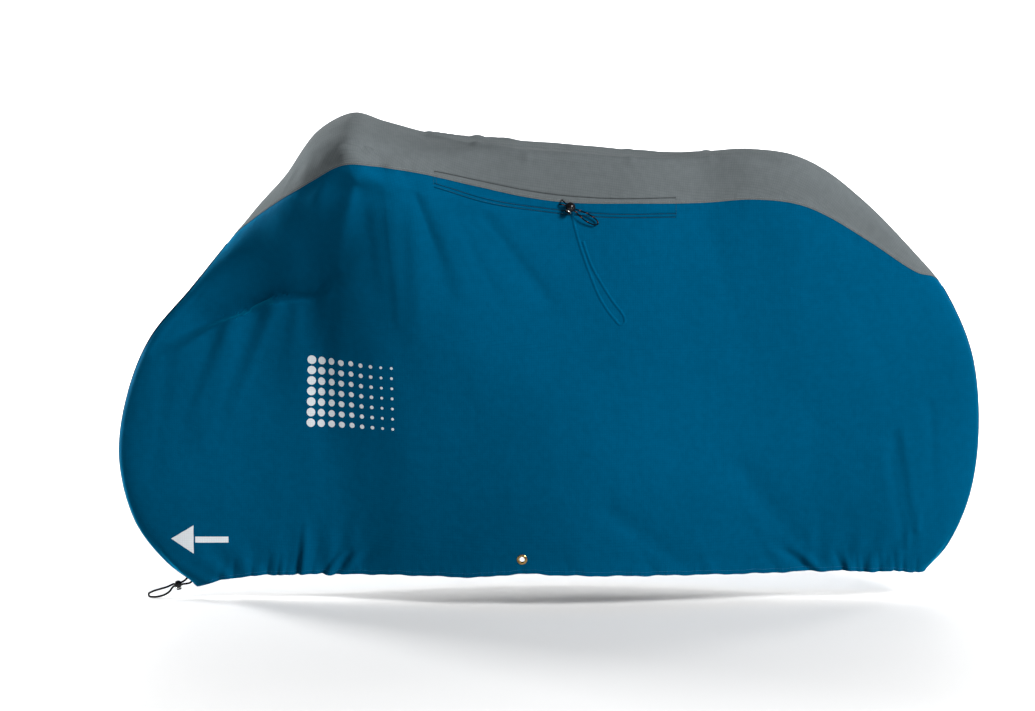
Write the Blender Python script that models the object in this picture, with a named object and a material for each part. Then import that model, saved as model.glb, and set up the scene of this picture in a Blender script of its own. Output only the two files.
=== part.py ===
"""A fitted bicycle cover of thin ripstop cloth, in the shape in which it hangs when it is in use.

Metres, +Z up. X runs along the cover with the front at -X, Y runs across it and -Y is the near side.
The tables give places over the middle of the floor below the cover. The model's origin is the place
where the cover rests on a saddle's top, so placed() takes every point from the one to the other.
"""

import math
from collections import namedtuple

import bmesh
import bpy
import numpy as np
from mathutils import Matrix, Vector

# Driving dimensions ------------------------------------------------------------------------------

CLOTH = 0.002            # thickness of every panel
GAP = 0.0003             # what two touching pieces keep between them
STRIP_HEIGHT = 0.062     # height of the eyelet strip above the hem's edge
STRIP_FROM = "waist"     # the sections between which the strip is cut
STRIP_TO = "belly"
STRIP_GIRTH = 0.97       # a girth on the strip
SADDLE_X = 0.490         # where the cover rests on a saddle's top
CROWN_DROP = 0.27        # place of a section's crown, as shares of its shoulder's drop
CROWN_HALF = 0.66        # and of its shoulder's half-width
UPPER_AT = 0.34          # places of a section's upper and lower widths, as shares of its height
LOWER_AT = 0.72
PANEL_ROWS = 11          # mesh rows of a side panel above the strip,
ROW_CROWDING = 1.2       # which stand closer together near the top
HEM_ROWS = 3             # and beside it
TOP_ROWS = 8             # mesh rows across the top panel
LEAF_TIP = 0.002         # half-width at which the top panel's points stop
FOLD_FREE = 0.02         # half-width up to which the folds fade towards the top line
REACH = 1e-4             # step over which a direction on the surface is measured

# One row is one section of the cover, from its top line to its near hem. steps is the number of mesh
# columns up to the next section, top and hem are the section's two ends, and the other columns are
# half-widths across the cover, but for drop, how far the shoulder lies below the top line, and
# top_half, the half-width of the grey panel, measured along the cloth.
Section = namedtuple("Section", "steps top_x top_z hem_x hem_z shoulder drop upper lower hem top_half")
SECTIONS = {
    "front corner": Section(3, -0.876, 0.037, -0.866, 0.030, 0.004, 0.002, 0.006, 0.008, 0.009, 0.0),
    "front toe":    Section(2, -0.945, 0.092, -0.838, 0.040, 0.024, 0.020, 0.036, 0.040, 0.038, 0.0),
    "front low":    Section(3, -1.017, 0.190, -0.806, 0.050, 0.030, 0.028, 0.045, 0.052, 0.046, 0.0),
    "front out":    Section(3, -1.054, 0.341, -0.770, 0.058, 0.032, 0.030, 0.050, 0.060, 0.052, 0.0),
    "front high":   Section(3, -1.036, 0.492, -0.730, 0.063, 0.032, 0.030, 0.052, 0.064, 0.054, 0.0),
    "brow":         Section(3, -0.977, 0.641, -0.690, 0.065, 0.033, 0.030, 0.052, 0.068, 0.056, 0.0),
    "cheek":        Section(3, -0.872, 0.768, -0.650, 0.067, 0.038, 0.030, 0.052, 0.072, 0.058, 0.0),
    "front tip":    Section(2, -0.786, 0.874, -0.618, 0.068, 0.050, 0.030, 0.054, 0.076, 0.060, 0.0),
    "slope":        Section(2, -0.712, 0.964, -0.588, 0.069, 0.090, 0.032, 0.064, 0.080, 0.062, 0.078),
    "rise":         Section(2, -0.640, 1.044, -0.560, 0.070, 0.165, 0.040, 0.082, 0.085, 0.064, 0.174),
    "brim":         Section(2, -0.566, 1.146, -0.530, 0.070, 0.245, 0.048, 0.106, 0.091, 0.066, 0.300),
    "bar":          Section(3, -0.485, 1.189, -0.495, 0.070, 0.292, 0.052, 0.166, 0.104, 0.070, 0.342),
    "neck":         Section(4, -0.405, 1.170, -0.440, 0.073, 0.268, 0.058, 0.202, 0.124, 0.082, 0.304),
    "lee":          Section(5, -0.305, 1.146, -0.350, 0.077, 0.205, 0.048, 0.206, 0.152, 0.112, 0.247),
    "waist":        Section(4, -0.176, 1.133, -0.176, 0.080, 0.142, 0.022, 0.192, 0.178, 0.152, 0.228),
    "eyelet":       Section(4, -0.066, 1.125, -0.066, 0.091, 0.122, 0.014, 0.180, 0.190, 0.166, 0.233),
    "belly":        Section(5, 0.044, 1.116, 0.044, 0.087, 0.114, 0.012, 0.168, 0.190, 0.168, 0.233),
    "back":         Section(4, 0.215, 1.100, 0.225, 0.083, 0.104, 0.012, 0.150, 0.170, 0.150, 0.210),
    "saddle nose":  Section(4, 0.370, 1.101, 0.385, 0.080, 0.080, 0.020, 0.130, 0.138, 0.118, 0.182),
    "saddle":       Section(4, 0.490, 1.106, 0.490, 0.077, 0.092, 0.026, 0.116, 0.112, 0.092, 0.185),
    "saddle tail":  Section(3, 0.596, 1.092, 0.572, 0.077, 0.088, 0.030, 0.106, 0.094, 0.076, 0.176),
    "fall":         Section(3, 0.672, 1.055, 0.632, 0.078, 0.074, 0.032, 0.092, 0.084, 0.068, 0.155),
    "haunch":       Section(3, 0.790, 0.958, 0.690, 0.078, 0.050, 0.030, 0.076, 0.078, 0.062, 0.108),
    "rear slope":   Section(3, 0.900, 0.844, 0.740, 0.076, 0.038, 0.030, 0.064, 0.072, 0.060, 0.057),
    "rear tip":     Section(3, 0.962, 0.768, 0.774, 0.075, 0.034, 0.030, 0.058, 0.070, 0.058, 0.0),
    "rear high":    Section(3, 1.032, 0.612, 0.808, 0.074, 0.033, 0.030, 0.054, 0.066, 0.056, 0.0),
    "rear out":     Section(3, 1.053, 0.430, 0.838, 0.073, 0.032, 0.030, 0.050, 0.060, 0.052, 0.0),
    "rear low":     Section(2, 1.035, 0.262, 0.864, 0.072, 0.030, 0.028, 0.044, 0.050, 0.044, 0.0),
    "rear heel":    Section(3, 0.983, 0.136, 0.884, 0.069, 0.022, 0.020, 0.032, 0.036, 0.032, 0.0),
    "rear corner":  Section(0, 0.920, 0.072, 0.902, 0.063, 0.004, 0.002, 0.006, 0.008, 0.009, 0.0),
}

# One row is one main fold of a side: a soft line from one place to another in the view from the side.
# A trough has a positive depth and a ridge a negative one, and width is half of the fold's breadth.
Fold = namedtuple("Fold", "from_x from_z to_x to_z width depth")
FOLDS = {
    "grip end":         Fold(-0.475, 1.140, -0.425, 1.138, 0.042, -0.012),
    "behind the grip":  Fold(-0.405, 1.090, -0.362, 0.670, 0.026, 0.018),
    "grip to belly":    Fold(-0.345, 1.060, -0.235, 0.770, 0.024, 0.011),
    "long sweep":       Fold(-0.230, 1.000, 0.010, 0.740, 0.030, 0.007),
    "below the grip":   Fold(-0.462, 1.050, -0.515, 0.840, 0.024, -0.014),
    "and further down": Fold(-0.520, 0.860, -0.560, 0.620, 0.022, -0.009),
    "undercut":         Fold(-0.830, 0.690, -0.600, 0.774, 0.046, 0.010),
    "undercut's rise":  Fold(-0.600, 0.774, -0.520, 0.850, 0.046, 0.014),
    "front streak":     Fold(-0.760, 0.690, -0.840, 0.400, 0.022, -0.005),
    "rear diagonal":    Fold(0.470, 0.330, 0.630, 0.110, 0.030, 0.007),
    "belly diagonal":   Fold(0.150, 0.240, 0.330, 0.105, 0.024, 0.006),
    "rear streak":      Fold(0.845, 0.400, 0.885, 0.140, 0.020, 0.005),
}
FOLD_THINNING = 0.6      # share of its depth that a fold loses towards its far end

# One row is one run of gathers, where the hem is drawn in near an end of the cover.
Gather = namedtuple("Gather", "from_x to_x pleats height depth")
GATHERS = {
    "front": Gather(-0.830, -0.420, 6.5, 0.190, 0.0060),
    "rear":  Gather(0.600, 0.880, 5.5, 0.170, 0.0055),
}

EYELET_X, EYELET_Z = -0.066, 0.126
EYELET_BORE = 0.0062     # radii of the eyelet: its bore, its barrel and its flanges
EYELET_BARREL = 0.0070
EYELET_FLANGE = 0.0126
EYELET_FLAT = 0.024      # radius of the cloth that lies flat round the eyelet
EYELET_STEPS = 24

POCKET_CORD = 0.0032     # diameters of the two elastic cords
HEM_CORD = 0.0050
HEM_CORD_OUT = (0.0480, 0.0395)  # heights at which the hem's cord comes out of the nose's seam
CORD_RESOLUTION = 2
CORD_PITCH = 2.2         # distance between a cord's points, in diameters
CORD_SEAT = 0.0008       # from the end of a cord to the cloth that it comes out of
STRAND_GAP = 0.0008      # between the two strands of a cord in its lock
SLOT_CLEARANCE = 0.0006  # round them
SLOT_STEPS = 8
POCKET_LOCK = (0.0122, 0.0300)  # radius and length of each cord lock
HEM_LOCK = (0.0098, 0.0250)
LOCK_STEPS = 20
POCKET_CORD_X = 0.026    # where the pocket's cord comes out of the seam
POCKET_CORD_FALL = math.radians(30)

COLOURS = {              # colour, roughness, metallic
    "blue cloth": ((0.0, 0.095, 0.205, 1.0), 0.75, 0.0),
    "grey cloth": ((0.16, 0.19, 0.20, 1.0), 0.8, 0.0),
    "brass": ((0.68, 0.50, 0.22, 1.0), 0.3, 1.0),
    "black plastic": ((0.012, 0.012, 0.013, 1.0), 0.35, 0.0),
    "black cord": ((0.015, 0.014, 0.013, 1.0), 0.85, 0.0),
}


# The cover's surface -----------------------------------------------------------------------------

def smooth_curve(knots, values, at):
    """Values at the places `at` on the smooth curve that has `values` at `knots`."""
    gaps = np.diff(knots)
    slopes = np.diff(values, axis=0) / gaps[:, None]
    tangents = np.empty_like(values)
    tangents[0], tangents[-1] = slopes[0], slopes[-1]
    weight = (gaps[1:] / (gaps[:-1] + gaps[1:]))[:, None]
    tangents[1:-1] = slopes[:-1] * weight + slopes[1:] * (1 - weight)
    i = np.clip(np.searchsorted(knots, at, side="right") - 1, 0, len(gaps) - 1)
    t = ((at - knots[i]) / gaps[i])[:, None]
    span = gaps[i][:, None]
    return ((1 + 2 * t) * (1 - t) ** 2 * values[i] + t * (1 - t) ** 2 * span * tangents[i]
            + t * t * (3 - 2 * t) * values[i + 1] + t * t * (t - 1) * span * tangents[i + 1])


def soft_step(t):
    t = np.clip(t, 0, 1)
    return t * t * (3 - 2 * t)


class Cover:
    """The cover's near half as a smooth surface. A point on it has a place along the cover, which
    counts the sections, and a girth, from 0 on the top line to 1 at the hem. Below 0 lies the far half."""

    def __init__(self):
        self.names = list(SECTIONS)
        self.table = np.array([list(section) for section in SECTIONS.values()])
        tops, hems = self.table[:, 1:3], self.table[:, 3:5]
        spans = (np.linalg.norm(np.diff(tops, axis=0), axis=1)
                 + np.linalg.norm(np.diff(hems, axis=0), axis=1))
        self.stations = np.concatenate([[0], np.cumsum(np.sqrt(spans))])
        self.leaf_tips = [self.leaf_tip("front tip", "slope"), self.leaf_tip("rear tip", "rear slope")]

    def station(self, name):
        return self.stations[self.names.index(name)]

    def leaf_tip(self, point, inward):
        """The place where the top panel's half-width is LEAF_TIP."""
        places = np.linspace(self.station(point), self.station(inward), 200)
        return float(np.interp(LEAF_TIP, [self.top_half(place) for place in places], places))

    def columns(self, first=None, last=None):
        """The places of the mesh columns, from one section to another. Two are at the leaf's tips."""
        start = self.names.index(first) if first else 0
        stop = self.names.index(last) if last else len(self.names) - 1
        places = []
        for i in range(start, stop):
            steps = SECTIONS[self.names[i]].steps
            places += list(np.linspace(self.stations[i], self.stations[i + 1], steps, endpoint=False))
        places.append(self.stations[stop])
        for tip in self.leaf_tips:
            if places[0] < tip < places[-1]:
                places[int(np.argmin(np.abs(np.array(places) - tip)))] = tip
        return places

    def row(self, place):
        """The row of the table that holds between the sections, at one place."""
        return Section(*smooth_curve(self.stations, self.table, np.array([place]))[0])

    def section(self, place):
        """One section: its knots and the points at them, then its top, its way down and its height. A
        point here is how far below the top line it lies and its half-width."""
        row = self.row(place)
        top, foot = np.array([row.top_x, row.top_z]), np.array([row.hem_x, row.hem_z])
        height = np.linalg.norm(foot - top)
        crown = (row.drop * CROWN_DROP, row.shoulder * CROWN_HALF)
        points = np.array([(crown[0], -crown[1]), (0, 0), crown, (row.drop, row.shoulder),
                           (height * UPPER_AT, row.upper), (height * LOWER_AT, row.lower),
                           (height, row.hem)])
        chords = np.sqrt(np.linalg.norm(np.diff(points, axis=0), axis=1))
        knots = np.concatenate([[0], np.cumsum(chords)]) - chords[0]
        return knots / knots[-1], points, top, (foot - top) / height, height

    def top_half(self, place):
        if not self.station("front tip") < place < self.station("rear tip"):
            return 0.0
        return max(0.0, self.row(place).top_half)

    def girth_at(self, place, length):
        """The girth at a length along the cloth from the top line, or from the hem if it is negative."""
        knots, points, *_ = self.section(place)
        girths = np.linspace(0, 1, 400)
        path = smooth_curve(knots, points, girths)
        along = np.concatenate([[0], np.cumsum(np.linalg.norm(np.diff(path, axis=0), axis=1))])
        if length < 0:
            length = along[-1] + length
        return float(np.interp(length, along, girths))

    def strip_girth(self, place):
        """The girth of the line that the strip's upper edge continues, all along the hem."""
        knots, points, *_, height = self.section(place)
        return self.girth_at(place, -min(STRIP_HEIGHT, 0.35 * height))

    def seam_girth(self, place):
        return self.girth_at(place, self.top_half(place))

    def points(self, place, girths):
        """Points on the near half at one place, or on the far half where the girth is negative."""
        girths = np.asarray(girths, float)
        knots, points, top, down, height = self.section(place)
        path = smooth_curve(knots, points, np.abs(girths))
        x = top[0] + down[0] * path[:, 0]
        z = top[1] + down[1] * path[:, 0]
        hem_x = top[0] + down[0] * height
        depth = folds(x, z) + gathers(hem_x, height - path[:, 0])
        half = path[:, 1] - depth * soft_step(path[:, 1] / FOLD_FREE)
        return np.stack([x, -half * np.where(girths < 0, -1, 1), z], axis=1)

    def normals(self, place, girths):
        """Outward normals at the same points."""
        girths = np.asarray(girths, float)
        along = self.points(place + REACH, girths) - self.points(place - REACH, girths)
        down = self.points(place, girths + REACH) - self.points(place, girths - REACH)
        normal = np.cross(down, along)
        normal /= np.linalg.norm(normal, axis=1)[:, None]
        return normal

    def place_of(self, x, girth_of):
        """The place where the line at girth_of(place) has this x."""
        low, high = self.station("brim"), self.station("haunch")
        for _ in range(50):
            middle = (low + high) / 2
            if self.points(middle, [girth_of(middle)])[0, 0] < x:
                low = middle
            else:
                high = middle
        return middle


def folds(x, z):
    """Depth of the main folds at places in the view from the side."""
    depth = np.zeros_like(x)
    for fold in FOLDS.values():
        run_x, run_z = fold.to_x - fold.from_x, fold.to_z - fold.from_z
        length = math.hypot(run_x, run_z)
        along = ((x - fold.from_x) * run_x + (z - fold.from_z) * run_z) / length
        across = ((x - fold.from_x) * run_z - (z - fold.from_z) * run_x) / length
        over = np.maximum(np.maximum(-along, along - length), 0)
        ends = soft_step(1 - over / (2 * fold.width))
        thinning = 1 - FOLD_THINNING * np.clip(along / length, 0, 1)
        depth += fold.depth * thinning * ends * np.exp(-(across / fold.width) ** 2)
    return depth


def gathers(hem_x, above):
    """Depth of the hem's gathers at a height above the hem."""
    depth = np.zeros_like(above)
    for gather in GATHERS.values():
        share = (hem_x - gather.from_x) / (gather.to_x - gather.from_x)
        if 0 < share < 1:
            uneven = share + 0.02 * math.sin(9 * share)
            wave = math.sin(2 * math.pi * gather.pleats * uneven)
            ends = soft_step(min(share, 1 - share) * 6)
            depth += gather.depth * wave * ends * soft_step(1 - above / gather.height)
    return depth


# Meshes ------------------------------------------------------------------------------------------

def placed(point):
    """A point of the tables in the model's frame, whose origin is the saddle's top."""
    return Vector((point[0] - ORIGIN[0], point[1] - ORIGIN[1], point[2] - ORIGIN[2]))


def material(name):
    if name in bpy.data.materials:
        return bpy.data.materials[name]
    colour, roughness, metallic = COLOURS[name]
    made = bpy.data.materials.new(name)
    made.use_nodes = True
    shader = made.node_tree.nodes["Principled BSDF"]
    shader.inputs["Base Color"].default_value = colour
    shader.inputs["Roughness"].default_value = roughness
    shader.inputs["Metallic"].default_value = metallic
    made.diffuse_color = colour
    return made


def finish(name, mesh, colour, smooth_angle=40):
    obj = bpy.data.objects.new(name, mesh)
    bpy.context.collection.objects.link(obj)
    mesh.materials.append(material(colour))
    mesh.shade_smooth()
    mesh.set_sharp_from_angle(angle=math.radians(smooth_angle))
    return obj


def mesh_from(name, vertices, faces):
    mesh = bpy.data.meshes.new(name)
    mesh.from_pydata(vertices, [], faces)
    shape = bmesh.new()
    shape.from_mesh(mesh)
    bmesh.ops.recalc_face_normals(shape, faces=shape.faces)
    shape.to_mesh(mesh)
    shape.free()
    return mesh


def cloth_mesh(name, middle, normals, filled):
    """One closed sheet: the cells of a grid that are filled, with a face on each side and a rim. The
    rim's triangles lean the same way on both sides of a seam, so that the gap between them is even."""
    vertices, faces, index = [], [], {}

    def corner(i, j, side):
        if (i, j, side) not in index:
            index[i, j, side] = len(vertices)
            vertices.append(placed(middle[i][j] + normals[i][j] * side * CLOTH / 2))
        return index[i, j, side]

    for i, j in filled:
        ring = [(i, j), (i + 1, j), (i + 1, j + 1), (i, j + 1)]
        faces.append([corner(a, b, 1) for a, b in ring])
        faces.append([corner(a, b, -1) for a, b in reversed(ring)])
        neighbours = [(i, j - 1), (i + 1, j), (i, j + 1), (i - 1, j)]
        for side, neighbour in enumerate(neighbours):
            if neighbour not in filled:
                start, end = sorted([ring[side], ring[(side + 1) % 4]])
                faces.append([corner(*start, -1), corner(*end, -1), corner(*end, 1)])
                faces.append([corner(*start, -1), corner(*end, 1), corner(*start, 1)])
    return mesh_from(name, vertices, faces)


def girth_gap(cover, place, girth):
    """Half of the gap between two pieces, as a share of the girth at one point."""
    points = cover.points(place, [girth - REACH, girth + REACH])
    return GAP * REACH / np.linalg.norm(points[1] - points[0])


def place_gap(cover, place, girth):
    """The same along the cover."""
    step = cover.points(place + REACH, [girth])[0] - cover.points(place - REACH, [girth])[0]
    return GAP * REACH / np.linalg.norm(step)


def flattened(middle, normals, eye, axis):
    """The grid with its points near the eyelet laid on the eyelet's own plane."""
    for points, directions in zip(middle, normals):
        for j, point in enumerate(points):
            offset = point - eye
            height = offset @ axis
            share = soft_step(2 - np.linalg.norm(offset - axis * height) / EYELET_FLAT)
            points[j] = point - axis * height * share
            blended = directions[j] * (1 - share) + axis * share
            directions[j] = blended / np.linalg.norm(blended)


def build_side(cover, side, eyelet):
    """A side panel and its eyelet strip. side is 1 for the near side and -1 for the far side."""
    suffix = "near" if side > 0 else "far"
    mirror = np.array([1, side, 1])
    start, stop = cover.station(STRIP_FROM), cover.station(STRIP_TO)
    before, after = (place_gap(cover, end, STRIP_GIRTH) for end in (start, stop))

    places = [p - before if p == start else p + after if p == stop else p for p in cover.columns()]
    middle, normals = [], []
    for place in places:
        seam, line = cover.seam_girth(place), cover.strip_girth(place)
        start_girth = seam + girth_gap(cover, place, seam + REACH)
        end_girth = line - girth_gap(cover, place, line)
        upper = start_girth + (end_girth - start_girth) * np.linspace(0, 1, PANEL_ROWS + 1) ** ROW_CROWDING
        girths = np.concatenate([upper, np.linspace(line, 1, HEM_ROWS + 1)[1:]])
        middle.append(cover.points(place, girths) * mirror)
        normals.append(cover.normals(place, girths) * mirror)
    first, last = places.index(start - before), places.index(stop + after)
    cells = {(i, j) for i in range(len(places) - 1) for j in range(PANEL_ROWS + HEM_ROWS)
             if j < PANEL_ROWS or not first <= i < last}
    panel = cloth_mesh("side_panel_" + suffix, middle, normals, cells)
    finish("side_panel_" + suffix, panel, "blue cloth", 60)

    places = cover.columns(STRIP_FROM, STRIP_TO)
    places[0] += before
    places[-1] -= after
    middle, normals = [], []
    for place in places:
        line = cover.strip_girth(place)
        girths = np.linspace(line + girth_gap(cover, place, line), 1, HEM_ROWS + 1)
        middle.append(cover.points(place, girths) * mirror)
        normals.append(cover.normals(place, girths) * mirror)
    eye, axis = eyelet[0] * mirror, eyelet[1] * mirror
    flattened(middle, normals, eye, axis)
    cells = {(i, j) for i in range(len(places) - 1) for j in range(HEM_ROWS)}
    strip = finish("hem_strip_" + suffix, cloth_mesh("hem_strip_" + suffix, middle, normals, cells),
                   "blue cloth", 60)
    punch(strip, suffix, eye, axis)
    build_eyelet("eyelet_" + suffix, eye, axis)


def frame_on(axis):
    """A rotation that turns +Z onto an axis."""
    return Vector((0, 0, 1)).rotation_difference(Vector(axis)).to_matrix().to_4x4()


def punch(strip, suffix, eye, axis):
    """The round hole in the strip that the eyelet's barrel passes through."""
    shape = bmesh.new()
    bmesh.ops.create_cone(shape, cap_ends=True, segments=EYELET_STEPS, radius1=EYELET_BARREL + GAP,
                          radius2=EYELET_BARREL + GAP, depth=10 * CLOTH)
    mesh = bpy.data.meshes.new("eyelet_hole_" + suffix)
    shape.to_mesh(mesh)
    shape.free()
    cutter = bpy.data.objects.new("eyelet_hole_" + suffix, mesh)
    bpy.context.collection.objects.link(cutter)
    cutter.matrix_world = Matrix.Translation(placed(eye)) @ frame_on(axis)
    cutter.hide_render = True
    cutter.display_type = "WIRE"
    hole = strip.modifiers.new("eyelet hole", "BOOLEAN")
    hole.operation = "DIFFERENCE"
    hole.solver = "EXACT"
    hole.object = cutter


def turned(name, profile, steps, colour, smooth_angle=40):
    """A solid turned round its own Z. profile is a closed loop of (radius, height), or runs from a
    point on the axis to another."""
    shape = bmesh.new()
    on_axis = profile[0][0] == 0
    corners = [shape.verts.new((r, 0, h)) for r, h in profile]
    pairs = list(zip(corners, corners[1:] + ([] if on_axis else corners[:1])))
    edges = [shape.edges.new(pair) for pair in pairs]
    bmesh.ops.spin(shape, geom=corners + edges, axis=(0, 0, 1), cent=(0, 0, 0), steps=steps,
                   angle=2 * math.pi, use_merge=True)
    bmesh.ops.remove_doubles(shape, verts=shape.verts, dist=1e-6)
    bmesh.ops.recalc_face_normals(shape, faces=shape.faces)
    mesh = bpy.data.meshes.new(name)
    shape.to_mesh(mesh)
    shape.free()
    return finish(name, mesh, colour, smooth_angle)


def build_eyelet(name, eye, axis):
    """A brass eyelet: one barrel with a rolled flange outside and a flat one inside."""
    seat = CLOTH / 2 + GAP
    profile = [(EYELET_BORE, seat + 0.0004), (EYELET_BORE + 0.0007, seat + 0.0011),
               (EYELET_FLANGE * 0.8, seat + 0.0011), (EYELET_FLANGE, seat + 0.0004),
               (EYELET_FLANGE, seat), (EYELET_BARREL, seat), (EYELET_BARREL, -seat),
               (EYELET_FLANGE, -seat), (EYELET_FLANGE, -seat - 0.0006),
               (EYELET_BORE + 0.0005, -seat - 0.0009), (EYELET_BORE, -seat - 0.0004)]
    ring = turned(name, profile, EYELET_STEPS, "brass")
    ring.matrix_world = Matrix.Translation(placed(eye)) @ frame_on(axis)


def build_top(cover):
    """The grey panel, pointed at both ends on the centre line."""
    front, rear = cover.leaf_tips
    places = [place for place in cover.columns() if front <= place <= rear]
    middle, normals = [], []
    for place in places:
        seam = cover.seam_girth(place)
        edge = seam - girth_gap(cover, place, seam)
        girths = np.linspace(-edge, edge, TOP_ROWS + 1)
        middle.append(cover.points(place, girths))
        normals.append(cover.normals(place, girths))
    cells = {(i, j) for i in range(len(places) - 1) for j in range(TOP_ROWS)}
    finish("top_panel", cloth_mesh("top_panel", middle, normals, cells), "grey cloth", 60)


# The two cords and their locks -------------------------------------------------------------------

def cord(name, route, diameter):
    """A cord as a bevelled curve along the smooth curve through its route's points."""
    route = np.array([placed(p) for p in route])
    knots = np.concatenate([[0], np.cumsum(np.linalg.norm(np.diff(route, axis=0), axis=1))])
    count = int(knots[-1] / (CORD_PITCH * diameter)) + 1
    curve = bpy.data.curves.new(name, "CURVE")
    curve.dimensions = "3D"
    curve.bevel_depth = diameter / 2
    curve.bevel_resolution = CORD_RESOLUTION
    curve.use_fill_caps = True
    spline = curve.splines.new("POLY")
    spline.points.add(count - 1)
    for point, place in zip(spline.points, smooth_curve(knots, route, np.linspace(0, knots[-1], count))):
        point.co = (*place, 1)
    curve.materials.append(material("black cord"))
    obj = bpy.data.objects.new(name, curve)
    bpy.context.collection.objects.link(obj)
    return obj


def strand_offset(diameter):
    """How far the middle of each of two strands side by side lies from the line between them."""
    return diameter / 2 + STRAND_GAP / 2


def build_lock(name, centre, button_way, cord_way, radius, length, cord_diameter):
    """A ball lock with its push button, and a slot in which the cord's two strands lie one above
    the other. button_way points to the button, cord_way along the cord."""
    waist, button = 0.55 * radius, 0.62 * radius
    top = length - 1.15 * radius
    profile = [(0, -0.92 * radius), (0.45 * radius, -0.88 * radius), (0.84 * radius, -0.55 * radius),
               (radius, 0), (0.84 * radius, 0.55 * radius), (waist, 0.80 * radius), (waist, 0.95 * radius),
               (button, radius), (button, top - 0.12 * radius), (0.75 * button, top), (0, top)]
    lock = turned(name, profile, LOCK_STEPS, "black plastic")
    z = Vector(button_way).normalized()
    x = Vector(cord_way).normalized()
    y = z.cross(x).normalized()
    turn = Matrix((x, y, z)).transposed().to_4x4()
    lock.matrix_world = Matrix.Translation(placed(centre)) @ turn

    half_slot = cord_diameter / 2 + SLOT_CLEARANCE
    outline = []
    for end in (1, -1):
        for k in range(SLOT_STEPS + 1):
            angle = math.pi * (k / SLOT_STEPS + (0 if end > 0 else 1))
            outline.append((-2 * radius, math.cos(angle) * half_slot,
                            math.sin(angle) * half_slot + end * strand_offset(cord_diameter)))
    shape = bmesh.new()
    face = shape.faces.new([shape.verts.new(point) for point in outline])
    pushed = bmesh.ops.extrude_face_region(shape, geom=[face])
    bmesh.ops.translate(shape, vec=(4 * radius, 0, 0),
                        verts=[v for v in pushed["geom"] if isinstance(v, bmesh.types.BMVert)])
    bmesh.ops.recalc_face_normals(shape, faces=shape.faces)
    mesh = bpy.data.meshes.new(name + "_slot")
    shape.to_mesh(mesh)
    shape.free()
    cutter = bpy.data.objects.new(name + "_slot", mesh)
    bpy.context.collection.objects.link(cutter)
    cutter.matrix_world = lock.matrix_world
    cutter.hide_render = True
    cutter.display_type = "WIRE"
    slot = lock.modifiers.new("cord slot", "BOOLEAN")
    slot.operation = "DIFFERENCE"
    slot.solver = "EXACT"
    slot.object = cutter


def build_pocket_cord(cover):
    """The pocket's cord: out of the seam, through its lock, and back in a flat loop."""
    place = cover.place_of(POCKET_CORD_X, cover.seam_girth)
    seam = cover.seam_girth(place)
    start = cover.points(place, [seam])[0]
    out = cover.normals(place, [seam])[0]
    below = cover.points(place, [seam + 0.02])[0] - start
    below -= out * (below @ out)
    below /= np.linalg.norm(below)
    ahead = np.cross(below, out)
    if ahead[0] < 0:
        ahead = -ahead
    way = ahead * math.cos(POCKET_CORD_FALL) + below * math.sin(POCKET_CORD_FALL)
    across = below * math.cos(POCKET_CORD_FALL) - ahead * math.sin(POCKET_CORD_FALL)

    def at(along, aside, off):
        return start + way * along + across * aside + out * off

    half = strand_offset(POCKET_CORD)
    foot = CLOTH / 2 + CORD_SEAT
    lift = 0.0145
    there = [(0.0, -0.0060, foot), (0.0010, -0.0056, 0.0060), (0.0060, -0.0040, 0.0120),
             (0.0140, -half, lift), (0.0260, -half, lift), (0.0380, -half, lift),
             (0.0520, -0.0052, 0.0135), (0.0700, -0.0078, 0.0110), (0.0880, -0.0070, 0.0085),
             (0.1000, -0.0036, 0.0072)]
    back = [(0.1035, 0.0012, 0.0070), (0.1000, 0.0058, 0.0072), (0.0880, 0.0090, 0.0085),
            (0.0700, 0.0092, 0.0110), (0.0520, 0.0058, 0.0135), (0.0380, half, lift),
            (0.0260, half, lift), (0.0140, half, lift), (0.0060, 0.0040, 0.0120),
            (0.0010, 0.0056, 0.0060), (0.0, 0.0060, foot)]
    cord("pocket_cord", [at(*point) for point in there + back], POCKET_CORD)
    build_lock("pocket_cord_lock", at(0.0260, 0, lift), across, way, *POCKET_LOCK, POCKET_CORD)


def build_hem_cord(cover):
    """The hem's cord at the front corner: its loop slopes down to lie on the floor."""
    def way_out(height, off):
        """A point off the nose's seam at one height."""
        places = np.linspace(cover.station("front corner"), cover.station("front toe"), 100)
        heights = [cover.points(place, [0.0])[0, 2] for place in places]
        place = float(np.interp(height, heights, places))
        return cover.points(place, [0.0])[0] + cover.normals(place, [0.0])[0] * (CLOTH / 2 + off)

    upper, lower = HEM_CORD_OUT
    centre = np.array([-0.9150, 0.0, 0.0300])
    way = np.array([-0.95, -0.10, -0.22])
    way /= np.linalg.norm(way)
    up = np.array([0, 0, 1]) - way * way[2]
    up /= np.linalg.norm(up)
    strand = up * strand_offset(HEM_CORD)
    inlet, outlet = centre - way * 0.0108, centre + way * 0.0118
    route = [way_out(upper, CORD_SEAT), way_out(upper, 0.0030), inlet + strand, centre + strand,
             outlet + strand, (-0.9400, -0.0050, 0.0248), (-0.9600, -0.0125, 0.0200),
             (-0.9770, -0.0200, 0.0155), (-0.9855, -0.0245, 0.0105), (-0.9840, -0.0260, 0.0054),
             (-0.9750, -0.0245, 0.0030), (-0.9620, -0.0190, 0.0030), (-0.9480, -0.0130, 0.0060),
             (-0.9360, -0.0070, 0.0125), outlet - strand, centre - strand, inlet - strand,
             way_out(lower, 0.0030), way_out(lower, CORD_SEAT)]
    cord("hem_cord", route, HEM_CORD)
    build_lock("hem_cord_lock", centre, -up, way, *HEM_LOCK, HEM_CORD)


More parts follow.
